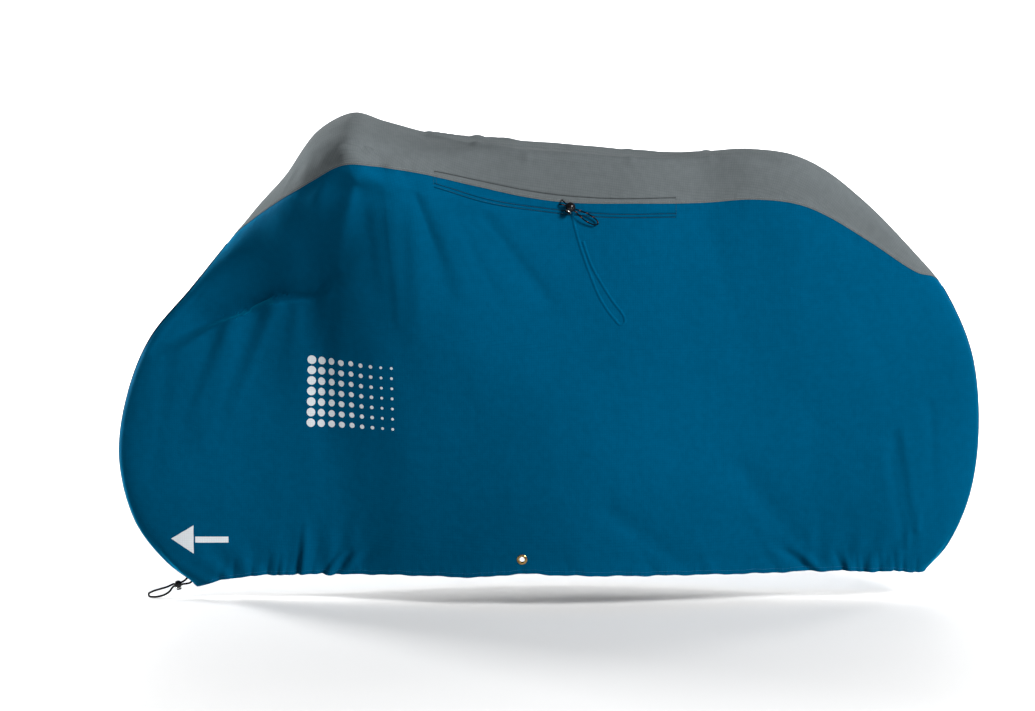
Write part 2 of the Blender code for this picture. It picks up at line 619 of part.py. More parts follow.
def saddle_top(cover):
    """The underside of the cloth on the centre plane, where it rests on the saddle."""
    place = cover.place_of(SADDLE_X, lambda place: 0.0)
    return cover.points(place, [0.0])[0] - cover.normals(place, [0.0])[0] * CLOTH / 2


def eyelet_seat(cover):
    """The middle of the near eyelet on the cloth, and the way out of it."""
    place = cover.place_of(EYELET_X, lambda place: STRIP_GIRTH)
    girths = np.linspace(0.8, 1, 400)
    heights = cover.points(place, girths)[:, 2]
    girth = float(np.interp(-EYELET_Z, -heights, girths))
    return cover.points(place, [girth])[0], cover.normals(place, [girth])[0]


for old in list(bpy.data.objects):
    bpy.data.objects.remove(old)

COVER = Cover()
ORIGIN = saddle_top(COVER)
build_top(COVER)
for side in (1, -1):
    build_side(COVER, side, eyelet_seat(COVER))
build_pocket_cord(COVER)
build_hem_cord(COVER)
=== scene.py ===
"""The looks of a fitted bicycle cover of thin ripstop cloth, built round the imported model.

Metres, +Z up, X along the cover with the front at -X, and -Y is the near side. The origin is the place
where the cover rests on a saddle's top. The tables give places over the middle of the floor below the
cover, as the part's own source does, and placed() takes them to the model's frame.
"""

import math
from collections import namedtuple

import bmesh
import bpy
import numpy as np
from mathutils import Matrix, Vector


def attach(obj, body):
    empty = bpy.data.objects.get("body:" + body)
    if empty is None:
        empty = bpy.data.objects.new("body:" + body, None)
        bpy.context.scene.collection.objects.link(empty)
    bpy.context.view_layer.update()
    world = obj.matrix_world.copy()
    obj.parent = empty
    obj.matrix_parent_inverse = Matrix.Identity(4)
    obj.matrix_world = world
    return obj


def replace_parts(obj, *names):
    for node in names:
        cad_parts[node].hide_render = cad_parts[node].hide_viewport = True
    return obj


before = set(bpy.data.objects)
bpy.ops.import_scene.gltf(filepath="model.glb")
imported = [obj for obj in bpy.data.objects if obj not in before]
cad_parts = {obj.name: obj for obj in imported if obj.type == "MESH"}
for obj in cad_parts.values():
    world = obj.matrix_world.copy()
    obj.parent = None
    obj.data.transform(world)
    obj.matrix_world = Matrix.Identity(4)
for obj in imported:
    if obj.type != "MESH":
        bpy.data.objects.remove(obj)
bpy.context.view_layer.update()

# Driving dimensions, as in the part's source -----------------------------------------------------

CLOTH = 0.002            # thickness of every panel
SADDLE_X = 0.490         # where the cover rests on a saddle's top
CROWN_DROP = 0.27        # place of a section's crown, as shares of its shoulder's drop
CROWN_HALF = 0.66        # and of its shoulder's half-width
UPPER_AT = 0.34          # places of a section's upper and lower widths, as shares of its height
LOWER_AT = 0.72
LEAF_TIP = 0.002         # half-width at which the top panel's points stop
FOLD_FREE = 0.02         # half-width up to which the folds fade towards the top line
REACH = 1e-4             # step over which a direction on the surface is measured

# One row is one section of the cover, from its top line to its near hem. top and hem are the section's
# two ends, and the other columns are half-widths across the cover, but for drop, how far the shoulder
# lies below the top line, and top_half, the half-width of the grey panel, measured along the cloth.
# The rear corner is a little squarer here than in the solids.
Section = namedtuple("Section", "top_x top_z hem_x hem_z shoulder drop upper lower hem top_half")
SECTIONS = {
    "front corner": Section(-0.876, 0.037, -0.866, 0.030, 0.004, 0.002, 0.006, 0.008, 0.009, 0.0),
    "front toe":    Section(-0.945, 0.092, -0.838, 0.040, 0.024, 0.020, 0.036, 0.040, 0.038, 0.0),
    "front low":    Section(-1.017, 0.190, -0.806, 0.050, 0.030, 0.028, 0.045, 0.052, 0.046, 0.0),
    "front out":    Section(-1.054, 0.341, -0.770, 0.058, 0.032, 0.030, 0.050, 0.060, 0.052, 0.0),
    "front high":   Section(-1.036, 0.492, -0.730, 0.063, 0.032, 0.030, 0.052, 0.064, 0.054, 0.0),
    "brow":         Section(-0.977, 0.641, -0.690, 0.065, 0.033, 0.030, 0.052, 0.068, 0.056, 0.0),
    "cheek":        Section(-0.872, 0.768, -0.650, 0.067, 0.038, 0.030, 0.052, 0.072, 0.058, 0.0),
    "front tip":    Section(-0.786, 0.874, -0.618, 0.068, 0.050, 0.030, 0.054, 0.076, 0.060, 0.0),
    "slope":        Section(-0.712, 0.964, -0.588, 0.069, 0.090, 0.032, 0.064, 0.080, 0.062, 0.078),
    "rise":         Section(-0.640, 1.044, -0.560, 0.070, 0.165, 0.040, 0.082, 0.085, 0.064, 0.174),
    "brim":         Section(-0.566, 1.146, -0.530, 0.070, 0.245, 0.048, 0.106, 0.091, 0.066, 0.300),
    "bar":          Section(-0.485, 1.189, -0.495, 0.070, 0.292, 0.052, 0.166, 0.104, 0.070, 0.342),
    "neck":         Section(-0.405, 1.170, -0.440, 0.073, 0.268, 0.058, 0.202, 0.124, 0.082, 0.304),
    "lee":          Section(-0.305, 1.146, -0.350, 0.077, 0.205, 0.048, 0.206, 0.152, 0.112, 0.247),
    "waist":        Section(-0.176, 1.133, -0.176, 0.080, 0.142, 0.022, 0.192, 0.178, 0.152, 0.228),
    "eyelet":       Section(-0.066, 1.125, -0.066, 0.091, 0.122, 0.014, 0.180, 0.190, 0.166, 0.233),
    "belly":        Section(0.044, 1.116, 0.044, 0.087, 0.114, 0.012, 0.168, 0.190, 0.168, 0.233),
    "back":         Section(0.215, 1.100, 0.225, 0.083, 0.104, 0.012, 0.150, 0.170, 0.150, 0.210),
    "saddle nose":  Section(0.370, 1.101, 0.385, 0.080, 0.080, 0.020, 0.130, 0.138, 0.118, 0.182),
    "saddle":       Section(0.490, 1.106, 0.490, 0.077, 0.092, 0.026, 0.116, 0.112, 0.092, 0.185),
    "saddle tail":  Section(0.596, 1.092, 0.572, 0.077, 0.088, 0.030, 0.106, 0.094, 0.076, 0.176),
    "fall":         Section(0.672, 1.055, 0.632, 0.078, 0.074, 0.032, 0.092, 0.084, 0.068, 0.155),
    "haunch":       Section(0.790, 0.958, 0.690, 0.078, 0.050, 0.030, 0.076, 0.078, 0.062, 0.108),
    "rear slope":   Section(0.900, 0.844, 0.740, 0.076, 0.038, 0.030, 0.064, 0.072, 0.060, 0.057),
    "rear tip":     Section(0.962, 0.768, 0.774, 0.075, 0.034, 0.030, 0.058, 0.070, 0.058, 0.0),
    "rear high":    Section(1.032, 0.612, 0.808, 0.074, 0.033, 0.030, 0.054, 0.066, 0.056, 0.0),
    "rear out":     Section(1.053, 0.430, 0.838, 0.073, 0.032, 0.030, 0.050, 0.060, 0.052, 0.0),
    "rear low":     Section(1.035, 0.262, 0.864, 0.072, 0.030, 0.028, 0.044, 0.050, 0.044, 0.0),
    "rear heel":    Section(0.984, 0.136, 0.893, 0.068, 0.022, 0.020, 0.032, 0.036, 0.032, 0.0),
    "rear corner":  Section(0.931, 0.073, 0.924, 0.065, 0.004, 0.002, 0.006, 0.008, 0.009, 0.0),
}

# One row is one main fold of a side: a soft line from one place to another in the view from the side.
# A trough has a positive depth and a ridge a negative one, and width is half of the fold's breadth.
Fold = namedtuple("Fold", "from_x from_z to_x to_z width depth")
FOLDS = {
    "grip end":         Fold(-0.475, 1.140, -0.425, 1.138, 0.042, -0.012),
    "behind the grip":  Fold(-0.405, 1.090, -0.362, 0.670, 0.026, 0.018),
    "grip to belly":    Fold(-0.345, 1.060, -0.235, 0.770, 0.024, 0.011),
    "long sweep":       Fold(-0.230, 1.000, 0.010, 0.740, 0.030, 0.007),
    "below the grip":   Fold(-0.462, 1.050, -0.515, 0.840, 0.024, -0.014),
    "and further down": Fold(-0.520, 0.860, -0.560, 0.620, 0.022, -0.009),
    "undercut":         Fold(-0.830, 0.690, -0.600, 0.774, 0.046, 0.010),
    "undercut's rise":  Fold(-0.600, 0.774, -0.520, 0.850, 0.046, 0.014),
    "front streak":     Fold(-0.760, 0.690, -0.840, 0.400, 0.022, -0.005),
    "rear diagonal":    Fold(0.470, 0.330, 0.630, 0.110, 0.030, 0.007),
    "belly diagonal":   Fold(0.150, 0.240, 0.330, 0.105, 0.024, 0.006),
    "rear streak":      Fold(0.845, 0.400, 0.885, 0.140, 0.020, 0.005),
}
FOLD_THINNING = 0.6      # share of its depth that a fold loses towards its far end

# One row is one run of gathers, where the hem is drawn in near an end of the cover.
Gather = namedtuple("Gather", "from_x to_x pleats height depth")
GATHERS = {
    "front": Gather(-0.830, -0.420, 6.5, 0.190, 0.0060),
    "rear":  Gather(0.600, 0.880, 5.5, 0.170, 0.0055),
}
GATHERS_SHOWN = 0.45     # share of the broad gathers that shows beside the finer pleats

EYELET_X, EYELET_Z = -0.066, 0.126
EYELET_FLAT = 0.024      # radius of the cloth that lies flat round the eyelet
HEM_GIRTH = 0.97         # a girth near the hem

POCKET_CORD = 0.0032     # diameters of the two elastic cords
HEM_CORD = 0.0050
HEM_CORD_OUT = (0.0480, 0.0395)  # heights at which the hem's cord comes out of the nose's seam
CORD_SEAT = 0.0008       # from the end of a cord to the cloth that it comes out of
STRAND_GAP = 0.0008      # between the two strands of a cord in its lock
SLOT_CLEARANCE = 0.0006  # round them
POCKET_LOCK = (0.0122, 0.0300)  # radius and length of each cord lock
HEM_LOCK = (0.0098, 0.0250)
POCKET_CORD_X = 0.026    # where the pocket's cord comes out of the seam
POCKET_CORD_FALL = math.radians(30)

# Driving dimensions of the looks -----------------------------------------------------------------

# Folds that the solids leave out, most of them finer. They are measured square to the cloth.
FINE_FOLDS = {
    "softer behind the grip": Fold(-0.405, 1.090, -0.362, 0.670, 0.026, -0.0165),
    "softer to the belly":    Fold(-0.345, 1.060, -0.235, 0.770, 0.024, -0.0050),
    "softer rise":            Fold(-0.600, 0.774, -0.520, 0.850, 0.046, -0.0100),
    "wide trough":            Fold(-0.436, 1.010, -0.424, 0.720, 0.040, 0.0150),
    "its shoulder":           Fold(-0.330, 1.040, -0.325, 0.720, 0.036, -0.0090),
    "bar's end on the right": Fold(-0.415, 1.115, -0.420, 1.030, 0.045, -0.0140),
    "under the bar's end":    Fold(-0.470, 1.042, -0.290, 1.020, 0.038, 0.0115),
    "lower corner's ridge":   Fold(-0.515, 0.950, -0.530, 0.850, 0.026, -0.0050),
    "softer further down":    Fold(-0.520, 0.860, -0.560, 0.620, 0.022, 0.0075),
    "fuller below the grip":  Fold(-0.580, 0.740, -0.590, 0.520, 0.095, -0.0130),
    "fuller behind the bar":  Fold(-0.210, 1.060, -0.215, 0.700, 0.130, -0.0300),
    "streak in it":           Fold(-0.352, 0.980, -0.338, 0.720, 0.014, 0.0040),
    "its foot":               Fold(-0.392, 0.770, -0.385, 0.700, 0.032, 0.0040),
    "second trough":          Fold(-0.325, 1.020, -0.250, 0.850, 0.016, 0.0036),
    "its ridge":              Fold(-0.300, 1.020, -0.206, 0.790, 0.014, -0.0030),
    "third trough":           Fold(-0.155, 0.965, -0.005, 0.765, 0.014, 0.0040),
    "seam to belly":          Fold(-0.230, 0.960, -0.120, 0.760, 0.013, 0.0030),
    "below the grip's knee":  Fold(-0.552, 1.060, -0.556, 0.800, 0.034, -0.0150),
    "bright corner":          Fold(-0.506, 0.836, -0.540, 0.760, 0.014, -0.0030),
    "light fold":             Fold(-0.524, 0.800, -0.566, 0.600, 0.013, -0.0020),
    "beside it":              Fold(-0.586, 0.720, -0.600, 0.600, 0.014, 0.0018),
    "short one below":        Fold(-0.630, 0.725, -0.665, 0.560, 0.017, 0.0022),
    "long arc":               Fold(-0.664, 0.735, -0.770, 0.480, 0.018, -0.0060),
    "arc's shade":            Fold(-0.712, 0.705, -0.820, 0.440, 0.022, 0.0028),
    "front streak's light":   Fold(-0.775, 0.690, -0.868, 0.460, 0.018, -0.0060),
    "front streak's shade":   Fold(-0.820, 0.640, -0.905, 0.400, 0.022, 0.0034),
    "along the nose":         Fold(-0.930, 0.600, -0.968, 0.300, 0.018, 0.0030),
    "behind the tail":        Fold(0.700, 0.800, 0.830, 0.560, 0.022, 0.0016),
    "under the saddle":       Fold(0.395, 0.900, 0.470, 0.640, 0.024, 0.0016),
    "rear sweep":             Fold(0.560, 0.560, 0.800, 0.300, 0.030, 0.0018),
    "rear streak's light":    Fold(0.862, 0.420, 0.905, 0.150, 0.012, -0.0030),
    "rear streak's shade":    Fold(0.832, 0.360, 0.870, 0.130, 0.010, 0.0030),
    "tail streak":            Fold(0.930, 0.480, 0.945, 0.200, 0.013, 0.0026),
}

# One row is one pleat at the hem: its foot, where it dies out, half its breadth, and its depth, which
# is all at its foot. Sixteen are at the front, four in the middle, twelve at the rear and two above those.
PLEATS = [Fold(*row) for row in (
    (-0.812, 0.050, -0.790, 0.130, 0.009, 0.0036), (-0.777, 0.054, -0.768, 0.125, 0.006, 0.0042),
    (-0.755, 0.056, -0.742, 0.140, 0.009, -0.0030), (-0.732, 0.057, -0.722, 0.130, 0.006, 0.0048),
    (-0.712, 0.058, -0.696, 0.160, 0.009, -0.0034), (-0.693, 0.060, -0.682, 0.130, 0.006, 0.0048),
    (-0.668, 0.062, -0.656, 0.130, 0.0055, 0.0044), (-0.648, 0.063, -0.636, 0.125, 0.0055, 0.0044),
    (-0.618, 0.064, -0.604, 0.200, 0.007, 0.0050), (-0.603, 0.066, -0.590, 0.220, 0.008, -0.0090),
    (-0.584, 0.067, -0.560, 0.170, 0.009, 0.0046), (-0.560, 0.069, -0.486, 0.165, 0.007, 0.0070),
    (-0.542, 0.070, -0.462, 0.180, 0.008, -0.0060), (-0.524, 0.071, -0.440, 0.190, 0.007, 0.0070),
    (-0.504, 0.072, -0.416, 0.190, 0.009, -0.0056), (-0.484, 0.073, -0.385, 0.185, 0.011, 0.0040),
    (-0.300, 0.078, -0.250, 0.150, 0.016, 0.0020), (0.060, 0.086, 0.000, 0.170, 0.018, 0.0018),
    (0.260, 0.083, 0.190, 0.190, 0.014, 0.0024), (0.400, 0.080, 0.330, 0.210, 0.014, -0.0026),
    (0.556, 0.080, 0.460, 0.230, 0.014, 0.0034), (0.642, 0.078, 0.500, 0.190, 0.012, 0.0085),
    (0.668, 0.078, 0.545, 0.185, 0.011, -0.0064), (0.722, 0.077, 0.694, 0.140, 0.008, 0.0066),
    (0.738, 0.077, 0.716, 0.150, 0.008, -0.0044), (0.756, 0.077, 0.750, 0.130, 0.006, 0.0044),
    (0.772, 0.077, 0.767, 0.130, 0.006, 0.0044), (0.790, 0.076, 0.786, 0.150, 0.008, -0.0036),
    (0.811, 0.076, 0.806, 0.140, 0.007, 0.0050), (0.850, 0.074, 0.845, 0.135, 0.007, 0.0048),
    (0.870, 0.073, 0.870, 0.130, 0.006, 0.0044), (0.903, 0.070, 0.903, 0.115, 0.006, 0.0034),
    (0.878, 0.140, 0.880, 0.215, 0.008, -0.0034), (0.904, 0.180, 0.906, 0.255, 0.008, -0.0034))]
HEM_DROP, HEM_WAVE = 0.0016, 0.0017  # how much lower the hem hangs here than in the solids, and its waves
HEM_FREE = 0.060         # height over which both die out

# The undercut's edge: the cloth above this line leans in under the bar, and beyond it swells out
# again. A row is a place on the line, then the depth there and the breadth over which it comes back.
UNDERCUT = [(-0.955, 0.640, 0.012, 0.050), (-0.900, 0.660, 0.023, 0.038), (-0.840, 0.684, 0.031, 0.020),
            (-0.782, 0.704, 0.034, 0.011), (-0.717, 0.727, 0.034, 0.009), (-0.675, 0.746, 0.031, 0.008),
            (-0.626, 0.757, 0.022, 0.009), (-0.580, 0.765, 0.013, 0.016), (-0.552, 0.780, 0.009, 0.028),
            (-0.530, 0.806, 0.009, 0.036), (-0.508, 0.860, 0.007, 0.050), (-0.480, 0.940, 0.004, 0.060),
            (-0.458, 1.020, 0.000, 0.060)]
UNDERCUT_REACH = 0.200   # over which it deepens

# Folds of the grey panel. Places are X and the distance from the ridge along the cloth.
TOP_FOLDS = {
    "shoulder crease":  Fold(-0.290, 0.036, -0.175, 0.092, 0.011, -0.0055),
    "crease's middle":  Fold(-0.175, 0.092, -0.060, 0.132, 0.011, -0.0065),
    "crease to saddle": Fold(-0.050, 0.132, 0.190, 0.106, 0.011, -0.0060),
    "over the saddle":  Fold(0.200, 0.104, 0.380, 0.069, 0.011, -0.0055),
    "saddle's edge":    Fold(0.390, 0.070, 0.490, 0.092, 0.012, -0.0040),
    "dish":             Fold(-0.160, 0.030, 0.260, 0.020, 0.060, 0.0110),
    "bar's dent":       Fold(-0.405, 0.250, -0.350, 0.215, 0.016, 0.0070),
    "bar's front":      Fold(-0.610, 0.175, -0.560, 0.262, 0.014, 0.0050),
    "tail's edge":      Fold(0.560, 0.080, 0.690, 0.050, 0.012, -0.0035),
    "bar's long dent":  Fold(-0.505, 0.318, -0.360, 0.258, 0.011, 0.0095),
    "above the dent":   Fold(-0.490, 0.292, -0.400, 0.262, 0.012, -0.0050),
}

COLUMNS = 430            # mesh columns of a side panel
SEAM_BAND, SEAM_ROWS = 0.015, 3      # the band below its seam, and the mesh rows in it
FINE_SHARE, FINE_ROWS = 0.38, 46     # share of its height that holds the finest folds, and its rows
REST_ROWS = 34
HEM_BAND, HEM_ROWS = 0.056, 17       # the band above its hem, and its rows
TOP_HALF_ROWS = 26       # mesh rows of half of the top panel inside its folded edge
NOSE_STEPS = 180         # mesh rows along each nose's bound seam
UNDERCUT_STEPS = 60      # short runs that stand for the undercut's edge
LINE_STEPS = 40          # and for a line of the pocket

SEAM_FREE = 0.02         # lengths below the seam over which the relief comes in: all of it,
FINE_FREE = 0.05         # the finer folds,
UNDERCUT_FREE = 0.045    # and the undercut

FELL = 0.008             # width of the top panel's folded edge, and how far it stands proud
FELL_LIFT = 0.0009
FELL_EDGE = 0.0016       # and the width over which its edge falls
HEM_FOLD = 0.012         # height of the hem, and how far it stands proud
HEM_LIFT = 0.0007
HEM_EDGE = 0.0015        # and the same of the hem
NOSE_BAND = 0.0095       # half-width of the bound seams of the noses
EYELET_HOLE = 0.0086
EYELET_BORE, EYELET_BARREL, EYELET_FLANGE = 0.0062, 0.0070, 0.0126
ROLL_HEIGHT = 0.0016     # of its rolled edge
EYELET_SIDES = 72        # flat faces that stand for its round

# What takes a point of the near side to each side.
SIDES = {"near": np.array([1, 1, 1]), "far": np.array([1, -1, 1])}

HEM_STITCHES = 0.0095    # height of the hem's row of stitches

RIPSTOP = 0.0056         # pitch of the stronger threads
RIP_THREAD = 0.0010      # and their width
STITCH, STITCH_PITCH, THREAD = 0.0029, 0.0040, 0.00042
STITCH_BODY = 0.30       # share of a stitch from its middle to where it tapers
ROW_ENDS = 6, 4          # mesh columns that the grey panel's and the hem's rows leave free at their ends

# The camera looks square at the near side, from slightly above.
CAMERA_TARGET = (-0.56705, 0.0, -0.5045)
CAMERA_DISTANCE = 10.0
CAMERA_ELEVATION = math.radians(8.5)
CAMERA_LENS = 142.1
SENSOR_WIDTH = 36
FLOOR_Z = -1.1050

SAMPLES = 400            # places at which a section is measured
TIP_SAMPLES = 200        # and at which the top panel's width is, to find its points
HALVINGS = 50            # steps in which a place is found

# The stow pocket's rows of stitching, and the cord that shows through the cloth below it.
POCKET_UPPER = [(-0.271, 1.073), (-0.141, 1.041), (-0.046, 1.021), (0.030, 1.010), (0.138, 1.002),
                (0.304, 1.001)]
POCKET_LOWER = [(-0.280, 1.047), (-0.141, 1.002), (-0.012, 0.980), (0.118, 0.966), (0.304, 0.963)]
POCKET_FROM, POCKET_TO = -0.277, 0.304
POCKET_DOUBLE = 0.008    # between the two lower rows
HIDDEN_CORD = [(0.053, 0.967), (0.068, 0.907), (0.097, 0.822), (0.126, 0.755), (0.157, 0.712),
               (0.169, 0.700), (0.179, 0.703), (0.180, 0.716), (0.172, 0.730), (0.157, 0.749),
               (0.130, 0.790), (0.101, 0.842), (0.080, 0.900)]

# The cover's surface -----------------------------------------------------------------------------

def smooth_curve(knots, values, at):
    """Values at the places `at` on the smooth curve that has `values` at `knots`."""
    gaps = np.diff(knots)
    slopes = np.diff(values, axis=0) / gaps[:, None]
    tangents = np.empty_like(values)
    tangents[0], tangents[-1] = slopes[0], slopes[-1]
    weight = (gaps[1:] / (gaps[:-1] + gaps[1:]))[:, None]
    tangents[1:-1] = slopes[:-1] * weight + slopes[1:] * (1 - weight)
    i = np.clip(np.searchsorted(knots, at, side="right") - 1, 0, len(gaps) - 1)
    t = ((at - knots[i]) / gaps[i])[:, None]
    span = gaps[i][:, None]
    return ((1 + 2 * t) * (1 - t) ** 2 * values[i] + t * (1 - t) ** 2 * span * tangents[i]
            + t * t * (3 - 2 * t) * values[i + 1] + t * t * (t - 1) * span * tangents[i + 1])


def soft_step(t):
    t = np.clip(t, 0, 1)
    return t * t * (3 - 2 * t)


def lengths_along(points):
    """Lengths along a line of points, from its first point to each."""
    return np.concatenate([[0], np.cumsum(np.linalg.norm(np.diff(points, axis=0), axis=1))])


class Cover:
    """The cover's near half as a smooth surface. A point on it has a place along the cover, which
    counts the sections, and a girth, from 0 on the top line to 1 at the hem. Below 0 lies the far half."""

    def __init__(self):
        self.names = list(SECTIONS)
        self.table = np.array([list(section) for section in SECTIONS.values()])
        tops, hems = self.table[:, 0:2], self.table[:, 2:4]
        spans = (np.linalg.norm(np.diff(tops, axis=0), axis=1)
                 + np.linalg.norm(np.diff(hems, axis=0), axis=1))
        self.stations = np.concatenate([[0], np.cumsum(np.sqrt(spans))])
        self.lengths = np.concatenate([[0], np.cumsum(spans)])
        self.leaf_tips = [self.leaf_tip("front tip", "slope"), self.leaf_tip("rear tip", "rear slope")]

    def station(self, name):
        return self.stations[self.names.index(name)]

    def leaf_tip(self, point, inward):
        """The place where the top panel's half-width is LEAF_TIP."""
        places = np.linspace(self.station(point), self.station(inward), TIP_SAMPLES)
        return float(np.interp(LEAF_TIP, [self.top_half(place) for place in places], places))

    def columns(self, count):
        """The places of evenly spread mesh columns. Two are at the leaf's tips."""
        places = np.interp(np.linspace(0, self.lengths[-1], count + 1), self.lengths, self.stations)
        for tip in self.leaf_tips:
            places[np.argmin(np.abs(places - tip))] = tip
        return places

    def row(self, place):
        """The row of the table that holds between the sections, at one place."""
        return Section(*smooth_curve(self.stations, self.table, np.array([place]))[0])

    def section(self, place):
        """One section: its knots and the points at them, then its top, its way down and its height. A
        point here is how far below the top line it lies and its half-width."""
        row = self.row(place)
        top, foot = np.array([row.top_x, row.top_z]), np.array([row.hem_x, row.hem_z])
        height = np.linalg.norm(foot - top)
        crown = (row.drop * CROWN_DROP, row.shoulder * CROWN_HALF)
        points = np.array([(crown[0], -crown[1]), (0, 0), crown, (row.drop, row.shoulder),
                           (height * UPPER_AT, row.upper), (height * LOWER_AT, row.lower),
                           (height, row.hem)])
        chords = np.sqrt(np.linalg.norm(np.diff(points, axis=0), axis=1))
        knots = np.concatenate([[0], np.cumsum(chords)]) - chords[0]
        return knots / knots[-1], points, top, (foot - top) / height, height

    def top_half(self, place):
        if not self.station("front tip") < place < self.station("rear tip"):
            return 0.0
        return max(0.0, self.row(place).top_half)

    def measured(self, place):
        """Girths of one section and the lengths along the cloth from the top line to them."""
        knots, points, *_ = self.section(place)
        girths = np.linspace(0, 1, SAMPLES)
        return girths, lengths_along(smooth_curve(knots, points, girths))

    def girths_at(self, place, lengths):
        """The girths at lengths along the cloth from the top line. Negative ones are on the far half."""
        girths, along = self.measured(place)
        lengths = np.asarray(lengths, float)
        return np.sign(lengths) * np.interp(np.abs(lengths), along, girths)

    def points(self, place, girths):
        """Points on the near half at one place, or on the far half where the girth is negative."""
        girths = np.asarray(girths, float)
        knots, points, top, down, height = self.section(place)
        path = smooth_curve(knots, points, np.abs(girths))
        x = top[0] + down[0] * path[:, 0]
        z = top[1] + down[1] * path[:, 0]
        hem_x = top[0] + down[0] * height
        depth = fold_depth(FOLDS.values(), x, z) + gathers(hem_x, height - path[:, 0])
        half = path[:, 1] - depth * soft_step(path[:, 1] / FOLD_FREE)
        return np.stack([x, -half * np.where(girths < 0, -1, 1), z], axis=1)

    def normals(self, place, girths):
        """Outward normals at the same points."""
        girths = np.asarray(girths, float)
        along = self.points(place + REACH, girths) - self.points(place - REACH, girths)
        down = self.points(place, girths + REACH) - self.points(place, girths - REACH)
        normal = np.cross(down, along)
        normal /= np.linalg.norm(normal, axis=1)[:, None]
        return normal

    def place_of(self, x, girth_of):
        """The place where the line at girth_of(place) has this x."""
        low, high = self.station("brim"), self.station("haunch")
        for _ in range(HALVINGS):
            middle = (low + high) / 2
            if self.points(middle, [girth_of(middle)])[0, 0] < x:
                low = middle
            else:
                high = middle
        return middle

    def seam_girth(self, place):
        return float(self.girths_at(place, [self.top_half(place)])[0])


def fold_depth(folds, x, z, thinning=FOLD_THINNING):
    """Depth of folds at places in the view from the side."""
    depth = np.zeros_like(x)
    for fold in folds:
        run_x, run_z = fold.to_x - fold.from_x, fold.to_z - fold.from_z
        length = math.hypot(run_x, run_z)
        along = ((x - fold.from_x) * run_x + (z - fold.from_z) * run_z) / length
        across = ((x - fold.from_x) * run_z - (z - fold.from_z) * run_x) / length
        over = np.maximum(np.maximum(-along, along - length), 0)
        ends = soft_step(1 - over / (2 * fold.width))
        thinned = 1 - thinning * np.clip(along / length, 0, 1)
        depth += fold.depth * thinned * ends * np.exp(-(across / fold.width) ** 2)
    return depth


def gathers(hem_x, above):
    """Depth of the hem's gathers at a height above the hem."""
    depth = np.zeros_like(above)
    for gather in GATHERS.values():
        share = (hem_x - gather.from_x) / (gather.to_x - gather.from_x)
        if 0 < share < 1:
            # the pleats are a little uneven
            uneven = share + 0.02 * math.sin(9 * share)
            wave = math.sin(2 * math.pi * gather.pleats * uneven)
            ends = soft_step(min(share, 1 - share) * 6)
            fading = soft_step(1 - above / gather.height)
            depth += GATHERS_SHOWN * gather.depth * wave * ends * fading
    return depth


COVER = Cover()


def saddle_top():
    """The underside of the cloth on the centre plane, where it rests on the saddle."""
    place = COVER.place_of(SADDLE_X, lambda place: 0.0)
    return COVER.points(place, [0.0])[0] - COVER.normals(place, [0.0])[0] * CLOTH / 2


def eyelet_seat():
    """The middle of the near eyelet on the cloth, and the way out of it."""
    place = COVER.place_of(EYELET_X, lambda place: HEM_GIRTH)
    girths = np.linspace(0.8, 1, SAMPLES)
    heights = COVER.points(place, girths)[:, 2]
    girth = float(np.interp(-EYELET_Z, -heights, girths))
    return COVER.points(place, [girth])[0], COVER.normals(place, [girth])[0]


ORIGIN = saddle_top()
EYE, EYE_AXIS = eyelet_seat()


def placed(points):
    """Points of the tables in the model's frame."""
    return np.asarray(points, float) - ORIGIN


# Camera ------------------------------------------------------------------------------------------

def linked(name, data):
    """A new object with this data, in the scene."""
    obj = bpy.data.objects.new(name, data)
    bpy.context.collection.objects.link(obj)
    return obj


def build_camera():
    data = bpy.data.cameras.new("camera")
    data.lens = CAMERA_LENS
    data.sensor_width = SENSOR_WIDTH
    data.clip_end = 100
    camera = linked("camera", data)
    back = Vector((0, -math.cos(CAMERA_ELEVATION), math.sin(CAMERA_ELEVATION)))
    camera.location = Vector(CAMERA_TARGET) + back * CAMERA_DISTANCE
    camera.rotation_euler = (-back).to_track_quat("-Z", "Y").to_euler()
    bpy.context.scene.camera = camera


build_camera()


# Materials ---------------------------------------------------------------------------------------

